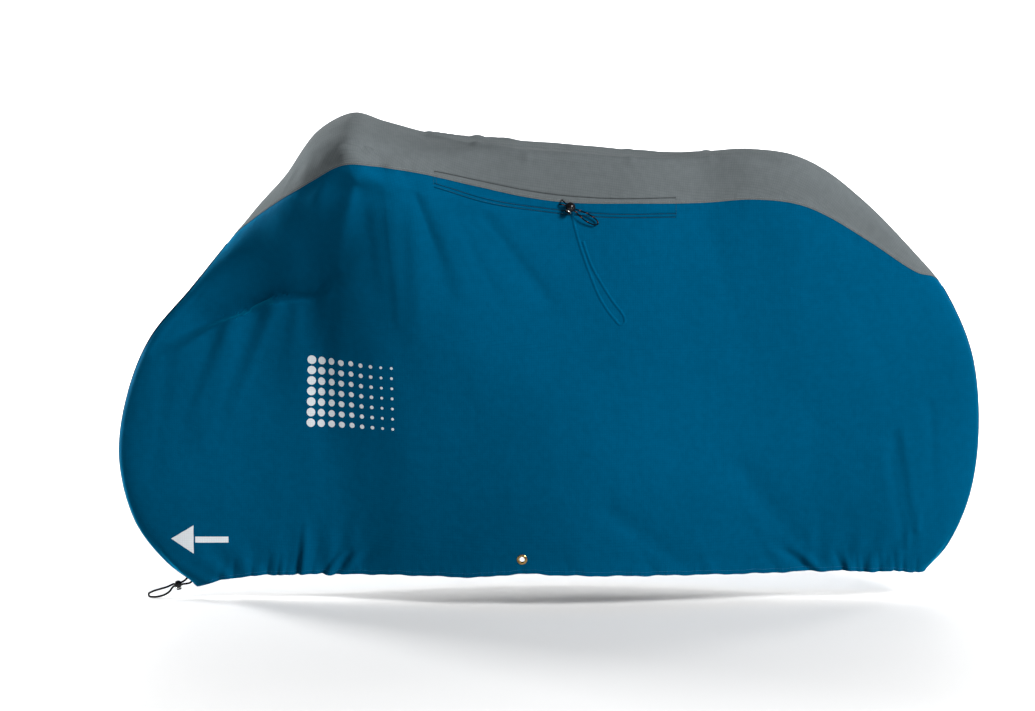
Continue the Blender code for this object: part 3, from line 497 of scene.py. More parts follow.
class Shader:
    """A material's node tree, with short calls for the nodes that the materials here are made of."""

    def __init__(self, name, **settings):
        self.material = bpy.data.materials.new(name)
        self.material.use_nodes = True
        self.tree = self.material.node_tree
        self.surface = self.tree.nodes["Principled BSDF"]
        for socket, value in settings.items():
            self.surface.inputs[socket.replace("_", " ")].default_value = value

    def node(self, kind, inputs=(), **properties):
        made = self.tree.nodes.new("ShaderNode" + kind)
        for name, value in properties.items():
            setattr(made, name, value)
        for name, value in dict(inputs).items():
            self.feed(made.inputs[name], value)
        return made

    def feed(self, socket, value):
        if isinstance(value, bpy.types.NodeSocket):
            self.tree.links.new(value, socket)
        else:
            socket.default_value = value

    def math(self, operation, *values):
        return self.node("Math", enumerate(values), operation=operation).outputs[0]

    def chain(self, operation, first, *others):
        """One operation over two or more values, from left to right."""
        for other in others:
            first = self.math(operation, first, other)
        return first

    def plus(self, *values):
        return self.chain("ADD", *values)

    def times(self, *values):
        return self.chain("MULTIPLY", *values)

    def minus(self, first, second):
        return self.math("SUBTRACT", first, second)

    def away(self, value, centre):
        """How far a value is from a centre."""
        return self.math("ABSOLUTE", self.minus(value, centre))

    def below(self, value, limit):
        return self.math("LESS_THAN", value, limit)

    def within(self, value, low, high):
        return self.times(self.math("GREATER_THAN", value, low), self.below(value, high))

    def uv(self, layer="cloth"):
        """The two coordinates of a UV layer, in metres."""
        split = self.node("SeparateXYZ", {0: self.node("UVMap", uv_map=layer).outputs[0]})
        return split.outputs[0], split.outputs[1]

    def point(self):
        return self.node("TexCoord").outputs["Object"]

    def noise(self, vector, scale, detail=2.0, roughness=0.5):
        """Noise from 0 to 1."""
        return self.node("TexNoise", {"Vector": vector, "Scale": scale, "Detail": detail,
                                      "Roughness": roughness}).outputs[0]

    def ramp(self, value, low, high, to_low=0.0, to_high=1.0, smooth=True):
        return self.node("MapRange", {0: value, 1: low, 2: high, 3: to_low, 4: to_high},
                         interpolation_type="SMOOTHSTEP" if smooth else "LINEAR").outputs[0]

    def patches(self, scale, low, high, detail=2.0):
        """Soft patches between two values."""
        return self.ramp(self.noise(self.point(), scale, detail), 0.3, 0.7, low, high)

    def grain(self, scale, depth, detail=2.0):
        """The height of a fine grain."""
        return self.times(self.noise(self.point(), scale, detail), depth)

    def mix(self, share, first, second):
        """A mix of two colours."""
        node = self.node("Mix", data_type="RGBA")
        self.feed(node.inputs[0], share)
        self.feed(node.inputs[6], first)
        self.feed(node.inputs[7], second)
        return node.outputs[2]

    def scaled(self, colour, factor):
        """A colour times a factor."""
        if not isinstance(colour, bpy.types.NodeSocket):
            colour = colour[:3]
        return self.node("VectorMath", {0: colour, "Scale": factor}, operation="SCALE").outputs[0]

    def thread_line(self, value, pitch, width):
        """1 on evenly spaced lines, 0 between them."""
        off = self.away(self.math("FRACT", self.math("DIVIDE", value, pitch)), 0.5)
        return self.ramp(off, width / pitch * 0.3, width / pitch * 0.7, 1.0, 0.0)

    def use(self, colour, roughness, height=None):
        self.feed(self.surface.inputs["Base Color"], colour)
        self.feed(self.surface.inputs["Roughness"], roughness)
        if height is not None:
            bumped = self.node("Bump", {"Height": height, "Strength": 1.0, "Distance": 1.0})
            self.feed(self.surface.inputs["Normal"], bumped.outputs[0])
        return self.material


# The print on the sides. It is measured on the flat pattern, whose coordinates are the places in the
# view from the side but for the cloth that bends away from it.
PRINT = (0.52, 0.55, 0.57, 1.0)
ARROW_TIP = (-0.927, 0.151)
ARROW_BACK_X, ARROW_HALF = -0.871, 0.035
SHAFT_GAP = 0.004             # between the arrow's head and its shaft
SHAFT_TO_X, SHAFT_HALF = -0.786, 0.0075
DOTS_FROM, DOTS_TO = (-0.598, 0.432), (-0.368, 0.614)
DOT_PITCH = 0.026
DOT_RADII = (0.0105, 0.0035)  # of the dots at the left and at the right end


def arrow_mask(shader, u, v):
    """A plain arrow that points to the front."""
    off = shader.away(v, ARROW_TIP[1])
    slope = ARROW_HALF / (ARROW_BACK_X - ARROW_TIP[0])
    edge = shader.times(shader.minus(u, ARROW_TIP[0]), slope)
    head = shader.times(shader.below(off, edge), shader.below(u, ARROW_BACK_X))
    shaft = shader.times(shader.below(off, SHAFT_HALF),
                         shader.within(u, ARROW_BACK_X + SHAFT_GAP, SHAFT_TO_X))
    return shader.math("MAXIMUM", head, shaft)


def dots_mask(shader, u, v):
    """A field of reflective dots that grow smaller towards the rear."""
    def cell(value, low):
        share = shader.math("DIVIDE", shader.minus(value, low), DOT_PITCH)
        offset = shader.minus(shader.math("FRACT", share), 0.5)
        return shader.math("FLOOR", share), shader.times(offset, DOT_PITCH)

    column, across = cell(u, DOTS_FROM[0])
    _, up = cell(v, DOTS_FROM[1])
    last = math.floor((DOTS_TO[0] - DOTS_FROM[0]) / DOT_PITCH) - 1
    radius = shader.ramp(column, 0, last, *DOT_RADII, smooth=False)
    far = shader.math("SQRT", shader.plus(shader.times(across, across), shader.times(up, up)))
    return shader.times(shader.below(far, radius), shader.within(u, DOTS_FROM[0], DOTS_TO[0]),
                        shader.within(v, DOTS_FROM[1], DOTS_TO[1]))


WEAVE_TURN = 5700.0      # the weave's threads, in radians a metre
GRID_WANDER = 0.0015     # how far the stronger threads stray
GRID_DEPTH, WEAVE_DEPTH, CREASE_DEPTH = 0.00010, 0.00003, 0.0016
SEAM_PUCKER, HEM_PUCKER, GROOVE_DEPTH = 0.0018, 0.0034, -0.0013
PUCKERS = (62.0, 14.0)   # how quickly the puckers change along the cover and up it
SEAM_PUCKERS = (0.002, 0.030)    # where they start and end, from the seam and from the hem
HEM_PUCKERS = (0.004, 0.036)
POCKET_PAINTED_SHADE_LINE = (0.0006, 0.0017)   # painted shade along the pocket's stitching, and its groove
POCKET_GROOVE = (0.0, 0.0042)
POCKET_SHADE = 0.42


def cloth_material(name, colour, sheen, sheen_weight, roughness, grid_depth, printed=False):
    """Ripstop cloth: a plain weave with stronger threads in a grid, small creases, and puckers that
    run in from its seams and its hem."""
    shader = Shader(name, IOR=1.03, Specular_IOR_Level=0.3, Specular_Tint=sheen,
                    Sheen_Weight=sheen_weight, Sheen_Roughness=0.35, Sheen_Tint=sheen)
    u, v = shader.uv()
    point = shader.point()
    wander = shader.times(shader.minus(shader.noise(point, 9), 0.5), GRID_WANDER)
    grid = shader.math("MAXIMUM", *(shader.thread_line(shader.plus(way, wander), RIPSTOP, RIP_THREAD)
                                    for way in (u, v)))
    weave = shader.times(*(shader.math("SINE", shader.times(way, WEAVE_TURN)) for way in (u, v)))

    broad = shader.ramp(shader.noise(point, 2.2, 3), 0.25, 0.75, 0.94, 1.06)
    threads = shader.minus(1.0, shader.times(grid, grid_depth))
    painted = shader.scaled(colour, shader.times(broad, shader.patches(60, 0.96, 1.04, 3), threads))
    if printed:
        ink = shader.math("MAXIMUM", arrow_mask(shader, u, v), dots_mask(shader, u, v))
        painted = shader.mix(ink, painted, shader.scaled(PRINT, threads))

    off_line, along_line = shader.uv("pocket")
    in_pocket = shader.within(along_line, POCKET_FROM, POCKET_TO)
    dark, groove = 0.0, 0.0
    for row in (0.0, -POCKET_DOUBLE) if printed else (0.0,):
        off = shader.away(off_line, row)
        dark = shader.math("MAXIMUM", dark, shader.ramp(off, *POCKET_PAINTED_SHADE_LINE, 1.0, 0.0))
        groove = shader.math("MAXIMUM", groove, shader.ramp(off, *POCKET_GROOVE, 1.0, 0.0))
    # painted shade: the cloth is darker along the pocket's rows of stitching, where they draw it into a
    # groove
    shade = shader.ramp(shader.times(dark, in_pocket), 0.0, 1.0, 1.0, POCKET_SHADE, smooth=False)

    from_seam, from_hem = shader.uv("edges")
    stretched = shader.node("CombineXYZ", {0: shader.times(u, PUCKERS[0]), 1: shader.times(v, PUCKERS[1])})
    puckers = shader.noise(stretched.outputs[0], 1.0, 2)
    near_seam = shader.ramp(from_seam, *SEAM_PUCKERS, 1.0, 0.0)
    near_hem = shader.ramp(from_hem, *HEM_PUCKERS, 1.0, 0.0)
    layers = ((grid, GRID_DEPTH), (weave, WEAVE_DEPTH), (shader.noise(point, 26, 4, 0.55), CREASE_DEPTH),
              (shader.times(near_seam, puckers), SEAM_PUCKER),
              (shader.times(near_hem, puckers), HEM_PUCKER),
              (shader.times(groove, in_pocket), GROOVE_DEPTH))
    height = shader.plus(*(shader.times(layer, depth) for layer, depth in layers))
    return shader.use(shader.scaled(painted, shade),
                      shader.patches(14, roughness - 0.05, roughness + 0.05), height)


def thread_material(name, colour):
    shader = Shader(name)
    return shader.use(shader.scaled(colour, shader.patches(400, 0.8, 1.2)), 0.7, shader.grain(2500, 0.0002))


def brass_material():
    """Brass with a turned grain, small dents and duller patches."""
    shader = Shader("brass", Metallic=1.0)
    tarnish = shader.ramp(shader.noise(shader.point(), 160, 3), 0.42, 0.68)
    colour = shader.mix(tarnish, (0.46, 0.30, 0.11, 1.0), (0.18, 0.10, 0.04, 1.0))
    return shader.use(colour, shader.ramp(tarnish, 0.0, 1.0, 0.16, 0.42), shader.grain(420, 0.00012, 4))


def plastic_material():
    shader = Shader("black plastic", IOR=1.30, Specular_IOR_Level=0.5)
    colour = shader.scaled((0.004, 0.004, 0.0045, 1.0), shader.patches(90, 0.7, 1.3, 3))
    return shader.use(colour, shader.patches(300, 0.12, 0.22, 3), shader.grain(700, 0.00005, 3))


def steel_material():
    shader = Shader("spring steel", Metallic=1.0)
    colour = shader.scaled((0.60, 0.58, 0.55, 1.0), shader.patches(200, 0.85, 1.1))
    return shader.use(colour, shader.patches(500, 0.2, 0.34))


def cord_material(name, strands, lay, flecks):
    """A braided sheath: two families of strands round the cord, with some of another colour. The UV's
    two coordinates are the turn round the cord, from 0 to 1, and the length along it."""
    shader = Shader(name, IOR=1.12, Specular_IOR_Level=0.15)
    turn, along = shader.uv()

    def family(sense):
        phase = shader.plus(shader.times(turn, float(strands * sense)), shader.math("DIVIDE", along, lay))
        off = shader.minus(shader.math("FRACT", phase), 0.5)
        return phase, shader.math("COSINE", shader.times(off, 2 * math.pi))

    first, first_round = family(1)
    second, second_round = family(-1)
    over = shader.math("SINE", shader.times(shader.plus(first, second), math.pi))
    on_top = shader.math("GREATER_THAN", over, 0.0)
    rounded = shader.node("Mix", {0: on_top, 2: first_round, 3: second_round}).outputs[0]
    strand = shader.math("MULTIPLY_ADD", shader.math("FLOOR", first), 0.37,
                         shader.times(shader.math("FLOOR", second), 0.71))
    fleck = shader.below(shader.math("FRACT", shader.math("ABSOLUTE", strand)), flecks)
    colour = shader.mix(fleck, (0.003, 0.003, 0.003, 1.0), (0.20, 0.060, 0.012, 1.0))
    # painted shade and highlight: each strand is darker at its sides and lighter on its crown, as light falls
    # on its round
    shade = shader.ramp(rounded, -1.0, 1.0, 0.45, 1.25)
    return shader.use(shader.scaled(colour, shade), 0.62, shader.times(rounded, 0.00012))


BLUE = (0.0, 0.050, 0.109, 1.0)
GREY = (0.080, 0.091, 0.095, 1.0)
# The noses' bound seams: a dark blue tape, painted far darker than the side panels to stand for the shade
# along the seam on the outline.
BOUND_TAPE_AND_SHADE = (0.0, 0.010, 0.021, 1.0)
BLUE_SHEEN, GREY_SHEEN = (0.0, 0.42, 0.75, 1.0), (0.75, 0.80, 0.82, 1.0)
blue_cloth = cloth_material("blue ripstop", BLUE, BLUE_SHEEN, 0.45, 0.65, 0.10, printed=True)
grey_cloth = cloth_material("grey ripstop", GREY, GREY_SHEEN, 0.02, 0.7, 0.13)
bound_cloth = cloth_material("binding", BOUND_TAPE_AND_SHADE, BLUE_SHEEN, 0.0, 0.8, 0.10)
blue_thread = thread_material("blue thread", (0.004, 0.075, 0.165, 1.0))
bound_thread = thread_material("binding thread", (0.002, 0.022, 0.045, 1.0))
grey_thread = thread_material("grey thread", (0.12, 0.13, 0.135, 1.0))
dark_thread = thread_material("dark thread", (0.012, 0.018, 0.024, 1.0))
brass = brass_material()
black_plastic = plastic_material()
spring_steel = steel_material()
pocket_braid = cord_material("flecked braid", 6, 0.0042, 0.06)
hem_braid = cord_material("black braid", 8, 0.0060, 0.0)


# Mesh helpers ------------------------------------------------------------------------------------

def finish(name, mesh, material, smooth_angle=None):
    """An object that rides on the model's one body."""
    obj = linked(name, mesh)
    mesh.materials.append(material)
    mesh.shade_smooth()
    if smooth_angle is not None:
        mesh.set_sharp_from_angle(angle=math.radians(smooth_angle))
    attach(obj, "root")
    return obj


def new_mesh(name, vertices, faces):
    mesh = bpy.data.meshes.new(name)
    mesh.from_pydata(vertices, [], faces)
    return mesh


def add_uv(mesh, layer, coordinates):
    """Gives each vertex's coordinates to its corners, in a new UV layer."""
    corners = np.empty(len(mesh.loops), np.int32)
    mesh.loops.foreach_get("vertex_index", corners)
    made = mesh.uv_layers.new(name=layer)
    made.data.foreach_set("uv", np.asarray(coordinates, np.float32)[corners].ravel())


def opened(mesh):
    """A mesh as a bmesh."""
    shape = bmesh.new()
    shape.from_mesh(mesh)
    return shape


def closed(shape, mesh):
    """Turns a bmesh's faces out, writes it into a mesh and frees it."""
    bmesh.ops.recalc_face_normals(shape, faces=shape.faces)
    shape.to_mesh(mesh)
    shape.free()
    return mesh


def unit(vectors):
    return vectors / np.linalg.norm(vectors, axis=-1, keepdims=True)


def grid_normals(points):
    """Normals of a grid of points on the near half, outward."""
    along = np.gradient(points, axis=0)
    down = np.gradient(points, axis=1)
    return unit(np.cross(down, along))


def tangents_of(points):
    return unit(np.gradient(points, axis=0))


OBLIQUE = (0.31, 0.83, 0.46)     # a direction along which no tube starts


def tube(name, points, radius, steps, material):
    """A round tube along points, with the turn round it and the length along it as its UV."""
    points = np.asarray(points, float)
    ways = tangents_of(points)
    side = unit(np.cross(ways[0], OBLIQUE))
    vertices, uvs, faces = [], [], []
    for point, way, length in zip(points, ways, lengths_along(points)):
        side = unit(side - way * (side @ way))
        other = np.cross(way, side)
        for k in range(steps + 1):
            angle = 2 * math.pi * k / steps
            vertices.append(point + radius * (side * math.cos(angle) + other * math.sin(angle)))
            uvs.append((k / steps, length))
    ring = steps + 1
    for i in range(len(points) - 1):
        for k in range(steps):
            a = i * ring + k
            faces.append((a, a + 1, a + ring + 1, a + ring))
    mesh = new_mesh(name, vertices, faces)
    add_uv(mesh, "cloth", uvs)
    shape = opened(mesh)
    bmesh.ops.remove_doubles(shape, verts=shape.verts, dist=WELD)
    bmesh.ops.holes_fill(shape, edges=[edge for edge in shape.edges if edge.is_boundary])
    return finish(name, closed(shape, mesh), material, 60)


def lathe(profile, steps):
    """A mesh turned round Z from (radius, height) points: a closed loop, or from axis to axis."""
    shape = bmesh.new()
    on_axis = profile[0][0] == 0
    corners = [shape.verts.new((r, 0, h)) for r, h in profile]
    pairs = list(zip(corners, corners[1:] + ([] if on_axis else corners[:1])))
    edges = [shape.edges.new(pair) for pair in pairs]
    bmesh.ops.spin(shape, geom=corners + edges, axis=(0, 0, 1), cent=(0, 0, 0), steps=steps,
                   angle=2 * math.pi, use_merge=True)
    bmesh.ops.remove_doubles(shape, verts=shape.verts, dist=WELD)
    return closed(shape, bpy.data.meshes.new("lathe"))


def arc(centre, radius, start, stop, count):
    """Points of an arc in the (radius, height) plane, with its angles in degrees."""
    return [(centre[0] + radius * math.cos(math.radians(a)), centre[1] + radius * math.sin(math.radians(a)))
            for a in np.linspace(start, stop, count)]


def frame_on(point, z_way, x_way=None):
    """A matrix that puts +Z along z_way, and +X near x_way, at a point of the model's frame."""
    z = Vector(z_way).normalized()
    x = Vector(x_way) if x_way is not None else z.orthogonal()
    x = (x - z * x.dot(z)).normalized()
    turn = Matrix((x, z.cross(x), z)).transposed().to_4x4()
    return Matrix.Translation(Vector(point)) @ turn


# Cords and their locks ---------------------------------------------------------------------------

WELD = 1e-7              # distance at which a mesh's points are one
CORD_STEP = 0.0012       # between the points of a cord's mesh
CORD_SIDES = 14          # flat faces that stand for a cord's round, and for those of a lock's pieces
BODY_SIDES, BUTTON_SIDES, SPRING_SIDES = 56, 48, 8
SPRING_TURNS = 2


def strand_offset(diameter):
    """How far the middle of each of two strands side by side lies from the line between them."""
    return diameter / 2 + STRAND_GAP / 2


def along_route(route):
    """Close points along the smooth curve through a route's points, in the model's frame."""
    route = placed(route)
    knots = lengths_along(route)
    count = int(knots[-1] / CORD_STEP) + 1
    return smooth_curve(knots, route, np.linspace(0, knots[-1], count))


def build_cord(name, route, diameter, material):
    path = along_route(route)
    obj = tube(name, path, diameter / 2, CORD_SIDES, material)
    return obj


def lock_body(radius):
    """The profile of a lock's round body, with a groove round its middle and a rim at its top."""
    waist, rim = 0.55 * radius, 0.80 * radius
    groove = radius * 0.035
    lower = [(0, -0.94 * radius), (0.30 * radius, -0.93 * radius)]
    lower += arc((0, 0), radius, -66, -6, 12)
    middle = [(radius - groove, -groove * 1.4), (radius - groove, groove * 1.4)]
    upper = arc((0, 0), radius, 6, 40, 8)
    neck = [(waist + 0.06 * radius, rim), (waist, rim + 0.03 * radius), (0, rim + 0.03 * radius)]
    return lower + middle + upper + neck


def lock_button(radius, length):
    """The profile of its push button, with two grip rings."""
    button, base, top = 0.62 * radius, 0.99 * radius, length - 1.15 * radius
    step = (top - base) / 5
    profile = [(0, base), (button * 0.92, base), (button, base + 0.3 * step)]
    for ring in (1.4, 2.6):
        profile += [(button, base + ring * step), (button * 0.93, base + (ring + 0.3) * step),
                    (button * 0.93, base + (ring + 0.6) * step), (button, base + (ring + 0.9) * step)]
    profile += [(button, top - 0.8 * step), (button * 0.9, top - 0.2 * step), (button * 0.7, top),
                (button * 0.25, top - 0.02 * radius), (0, top - 0.03 * radius)]
    return profile


def slot_cutter(radius, cord_diameter):
    """A long rounded bar along X, in the shape of the two strands one above the other."""
    half = cord_diameter / 2 + SLOT_CLEARANCE
    shape = bmesh.new()
    outline = []
    for end in (1, -1):
        for k in range(13):
            angle = math.pi * (k / 12 + (0 if end > 0 else 1))
            outline.append(shape.verts.new((-2 * radius, math.cos(angle) * half, math.sin(angle) * half
                                            + end * strand_offset(cord_diameter))))
    face = shape.faces.new(outline)
    pushed = bmesh.ops.extrude_face_region(shape, geom=[face])
    bmesh.ops.translate(shape, vec=(4 * radius, 0, 0),
                        verts=[v for v in pushed["geom"] if isinstance(v, bmesh.types.BMVert)])
    return closed(shape, bpy.data.meshes.new("slot"))


def cut(mesh, cutter):
    """A mesh with a cutter's shape taken out of it."""
    body, tool = linked("cut", mesh), linked("cut", cutter)
    modifier = body.modifiers.new("cut", "BOOLEAN")
    modifier.operation = "DIFFERENCE"
    modifier.solver = "EXACT"
    modifier.object = tool
    graph = bpy.context.evaluated_depsgraph_get()
    result = bpy.data.meshes.new_from_object(body.evaluated_get(graph))
    for obj in (body, tool):
        bpy.data.objects.remove(obj)
    return result


def build_lock(name, centre, button_way, cord_way, radius, length, cord_diameter, node):
    """A ball lock in three pieces: its body with the cord's slot, its button, and the spring between."""
    turn = frame_on(placed(centre), button_way, cord_way)
    body = cut(lathe(lock_body(radius), BODY_SIDES), slot_cutter(radius, cord_diameter))
    button = lathe(lock_button(radius, length), BUTTON_SIDES)
    pieces = []
    for mesh, suffix in ((body, ""), (button, "_button")):
        mesh.transform(turn)
        pieces.append(finish(name + suffix, mesh, black_plastic, 35))
    end = 2 * math.pi * SPRING_TURNS
    coil = [turn @ Vector((0.60 * radius * math.cos(a), 0.60 * radius * math.sin(a),
                           radius * (0.85 + 0.13 * a / end)))
            for a in np.linspace(0, end, 90)]
    spring = tube(name + "_spring", coil, 0.055 * radius, SPRING_SIDES, spring_steel)
    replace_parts(pieces[0], node)
    return pieces + [spring]


def pocket_frame():
    """The place on the seam where the pocket's cord comes out, its way, across it and out of the cloth."""
    place = COVER.place_of(POCKET_CORD_X, COVER.seam_girth)
    seam = COVER.seam_girth(place)
    start = COVER.points(place, [seam])[0]
    out = COVER.normals(place, [seam])[0]
    below = COVER.points(place, [seam + 0.02])[0] - start
    below = unit(below - out * (below @ out))
    ahead = np.cross(below, out)
    if ahead[0] < 0:
        ahead = -ahead
    way = ahead * math.cos(POCKET_CORD_FALL) + below * math.sin(POCKET_CORD_FALL)
    across = below * math.cos(POCKET_CORD_FALL) - ahead * math.sin(POCKET_CORD_FALL)
    return start, way, across, out


def build_pocket_cord():
    """The pocket's cord: out of the seam, through its lock, and back in a flat loop."""
    start, way, across, out = pocket_frame()

    def at(along, aside, off):
        return start + way * along + across * aside + out * off

    half = strand_offset(POCKET_CORD)
    foot = CLOTH / 2 + CORD_SEAT
    lock_at, lift = 0.0260, 0.0145
    there = [(0.0, -0.0060, foot), (0.0010, -0.0056, 0.0060), (0.0060, -0.0040, 0.0120),
             (0.0140, -half, lift), (lock_at, -half, lift), (0.0380, -half, lift),
             (0.0520, -0.0052, 0.0135), (0.0700, -0.0078, 0.0110), (0.0880, -0.0070, 0.0085),
             (0.1000, -0.0036, 0.0072)]
    back = [(0.1035, 0.0012, 0.0070), (0.1000, 0.0058, 0.0072), (0.0880, 0.0090, 0.0085),
            (0.0700, 0.0092, 0.0110), (0.0520, 0.0058, 0.0135), (0.0380, half, lift),
            (lock_at, half, lift), (0.0140, half, lift), (0.0060, 0.0040, 0.0120),
            (0.0010, 0.0056, 0.0060), (0.0, 0.0060, foot)]
    pieces = build_lock("pocket_lock", at(lock_at, 0, lift), across, way, *POCKET_LOCK, POCKET_CORD,
                        "pocket_cord_lock")
    route = [at(*point) for point in there + back]
    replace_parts(build_cord("pocket_loop", route, POCKET_CORD, pocket_braid), "pocket_cord")


def build_hem_cord():
    """The hem's cord at the front corner: its loop slopes down to lie on the floor."""
    def way_out(height, off):
        """A point off the nose's seam at one height."""
        places = np.linspace(COVER.station("front corner"), COVER.station("front toe"), 100)
        heights = [COVER.points(place, [0.0])[0, 2] for place in places]
        place = float(np.interp(height, heights, places))
        return COVER.points(place, [0.0])[0] + COVER.normals(place, [0.0])[0] * (CLOTH / 2 + off)

    upper, lower = HEM_CORD_OUT
    centre = np.array([-0.9150, 0.0, 0.0300])
    way = unit(np.array([-0.95, -0.10, -0.22]))
    up = unit(np.array([0, 0, 1]) - way * way[2])
    strand = up * strand_offset(HEM_CORD)
    inlet, outlet = centre - way * 0.0108, centre + way * 0.0118
    route = [way_out(upper, CORD_SEAT), way_out(upper, 0.0030), inlet + strand, centre + strand,
             outlet + strand, (-0.9400, -0.0050, 0.0248), (-0.9600, -0.0125, 0.0200),
             (-0.9770, -0.0200, 0.0155), (-0.9855, -0.0245, 0.0105), (-0.9840, -0.0260, 0.0054),
             (-0.9750, -0.0245, 0.0030), (-0.9620, -0.0190, 0.0030), (-0.9480, -0.0130, 0.0060),
             (-0.9360, -0.0070, 0.0125), outlet - strand, centre - strand, inlet - strand,
             way_out(lower, 0.0030), way_out(lower, CORD_SEAT)]
    pieces = build_lock("hem_lock", centre, -up, way, *HEM_LOCK, HEM_CORD, "hem_cord_lock")
    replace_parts(build_cord("hem_loop", route, HEM_CORD, hem_braid), "hem_cord")


build_pocket_cord()
build_hem_cord()


# Cloth -------------------------------------------------------------------------------------------

NEARLY_NONE = 1e-5       # keeps a distance from being nothing


def undercut_depth(x, z):
    """Depth of the undercut: it deepens slowly down to its edge, and ends quickly beyond it."""
    rows = np.array(UNDERCUT)
    along = lengths_along(rows[:, :2])
    rows = smooth_curve(along, rows, np.linspace(0, along[-1], UNDERCUT_STEPS))
    starts, runs = rows[:-1], np.diff(rows, axis=0)
    lengths = np.linalg.norm(runs[:, :2], axis=1)
    gap_x, gap_z = x[:, None] - starts[:, 0], z[:, None] - starts[:, 1]
    share = np.clip((gap_x * runs[:, 0] + gap_z * runs[:, 1]) / lengths ** 2, 0, 1)
    gap_x, gap_z = gap_x - share * runs[:, 0], gap_z - share * runs[:, 1]
    distances = np.hypot(gap_x, gap_z) + NEARLY_NONE
    nearest = np.argmin(distances, axis=1)[:, None]
    inward = np.take_along_axis(runs[:, 0] * gap_z - runs[:, 1] * gap_x, nearest, 1)[:, 0] > 0
    nearest = np.take_along_axis(distances, nearest, 1)[:, 0]
    # the nearer runs count for more, so that their depths blend without a crease
    weights = lengths * distances ** -4
    weights /= weights.sum(axis=1, keepdims=True)
    deep = (weights * (starts[:, 2] + share * runs[:, 2])).sum(axis=1)
    back = (weights * (starts[:, 3] + share * runs[:, 3])).sum(axis=1)
    # a distance that has no crease where the edge bends, and that off a straight edge is the plain one
    rounded = (3 * math.pi / 8 / (lengths * distances ** -6).sum(axis=1)) ** 0.2
    above = np.clip(1 - rounded / UNDERCUT_REACH, 0, 1) ** 1.5
    return deep * np.where(inward, above, soft_step(1 - nearest / back))


def unevenness(x, z):
    """Slow swells of the cloth, up to about a millimetre."""
    return (0.0007 * np.sin(21 * x + 9 * z + 1.3) * np.sin(13 * z - 6 * x)
            + 0.0005 * np.sin(43 * x - 17 * z) * np.sin(31 * z + 11 * x + 0.7))


def hem_drop(x):
    """How far the hem hangs below the solids' hem, with its small waves."""
    waves = 0.6 * np.sin(57 * x + 1.0) + 0.4 * np.sin(131 * x + 2.0)
    return HEM_DROP + HEM_WAVE * waves


def side_relief(x, z, from_seam):
    """How far the finer folds take the cloth in, square to it."""
    free = soft_step(from_seam / FINE_FREE)
    depth = fold_depth(FINE_FOLDS.values(), x, z) * free
    depth += undercut_depth(x, z) * soft_step(from_seam / UNDERCUT_FREE)
    depth += fold_depth(PLEATS, x, z, thinning=1.0)
    depth += unevenness(x, z) * free
    return depth


def from_line(line, x, z):
    """Signed distances from a smooth line, in the view from the side: positive above it."""
    line = np.array(line)
    along = lengths_along(line)
    line = smooth_curve(along, line, np.linspace(0, along[-1], LINE_STEPS))
    slope = np.gradient(line[:, 1], line[:, 0])
    above = z - np.interp(x, line[:, 0], line[:, 1])
    return above / np.sqrt(1 + np.interp(x, line[:, 0], slope) ** 2)


RELAXATIONS, OVER_RELAXED = 600, 1.6  # rounds of the flat pattern, and by how much each overshoots
COARSE = 6, 5            # mesh columns and rows between those that it is worked out on


def flat_pattern(points, start):
    """The flat pattern of a grid of points: every cell keeps its sides' and diagonals' lengths. start
    is a first guess of the flat places."""
    flat = start.copy()
    head, tail, whole = slice(0, -1), slice(1, None), slice(None)
    springs = [(here, there, np.linalg.norm(points[there] - points[here], axis=-1))
               for here, there in (((head, whole), (tail, whole)), ((whole, head), (whole, tail)),
                                   ((head, head), (tail, tail)), ((head, tail), (tail, head)))]
    for _ in range(RELAXATIONS):
        moved = np.zeros_like(flat)
        count = np.zeros(flat.shape[:2])
        for here, there, rest in springs:
            gap = flat[there] - flat[here]
            length = np.linalg.norm(gap, axis=-1)
            pull = gap * (0.5 * (1 - rest / np.maximum(length, 1e-9)))[..., None]
            moved[here] += pull
            moved[there] -= pull
            count[here] += 1
            count[there] += 1
        flat += moved / count[..., None] * OVER_RELAXED
    return flat


def flat_uv(points, start):
    """The flat pattern of a fine grid, worked out on a coarse one."""
    rows, columns = (np.unique(np.append(np.arange(0, count, step), count - 1))
                     for count, step in zip(points.shape, COARSE))
    coarse = flat_pattern(points[np.ix_(rows, columns)], start[np.ix_(rows, columns)])
    between = np.stack([[np.interp(np.arange(points.shape[1]), columns, line[:, k]) for line in coarse]
                        for k in (0, 1)], axis=-1)
    fine = np.empty(points.shape[:2] + (2,))
    for j in range(points.shape[1]):
        for k in (0, 1):
            fine[:, j, k] = np.interp(np.arange(points.shape[0]), rows, between[:, j, k])
    return fine


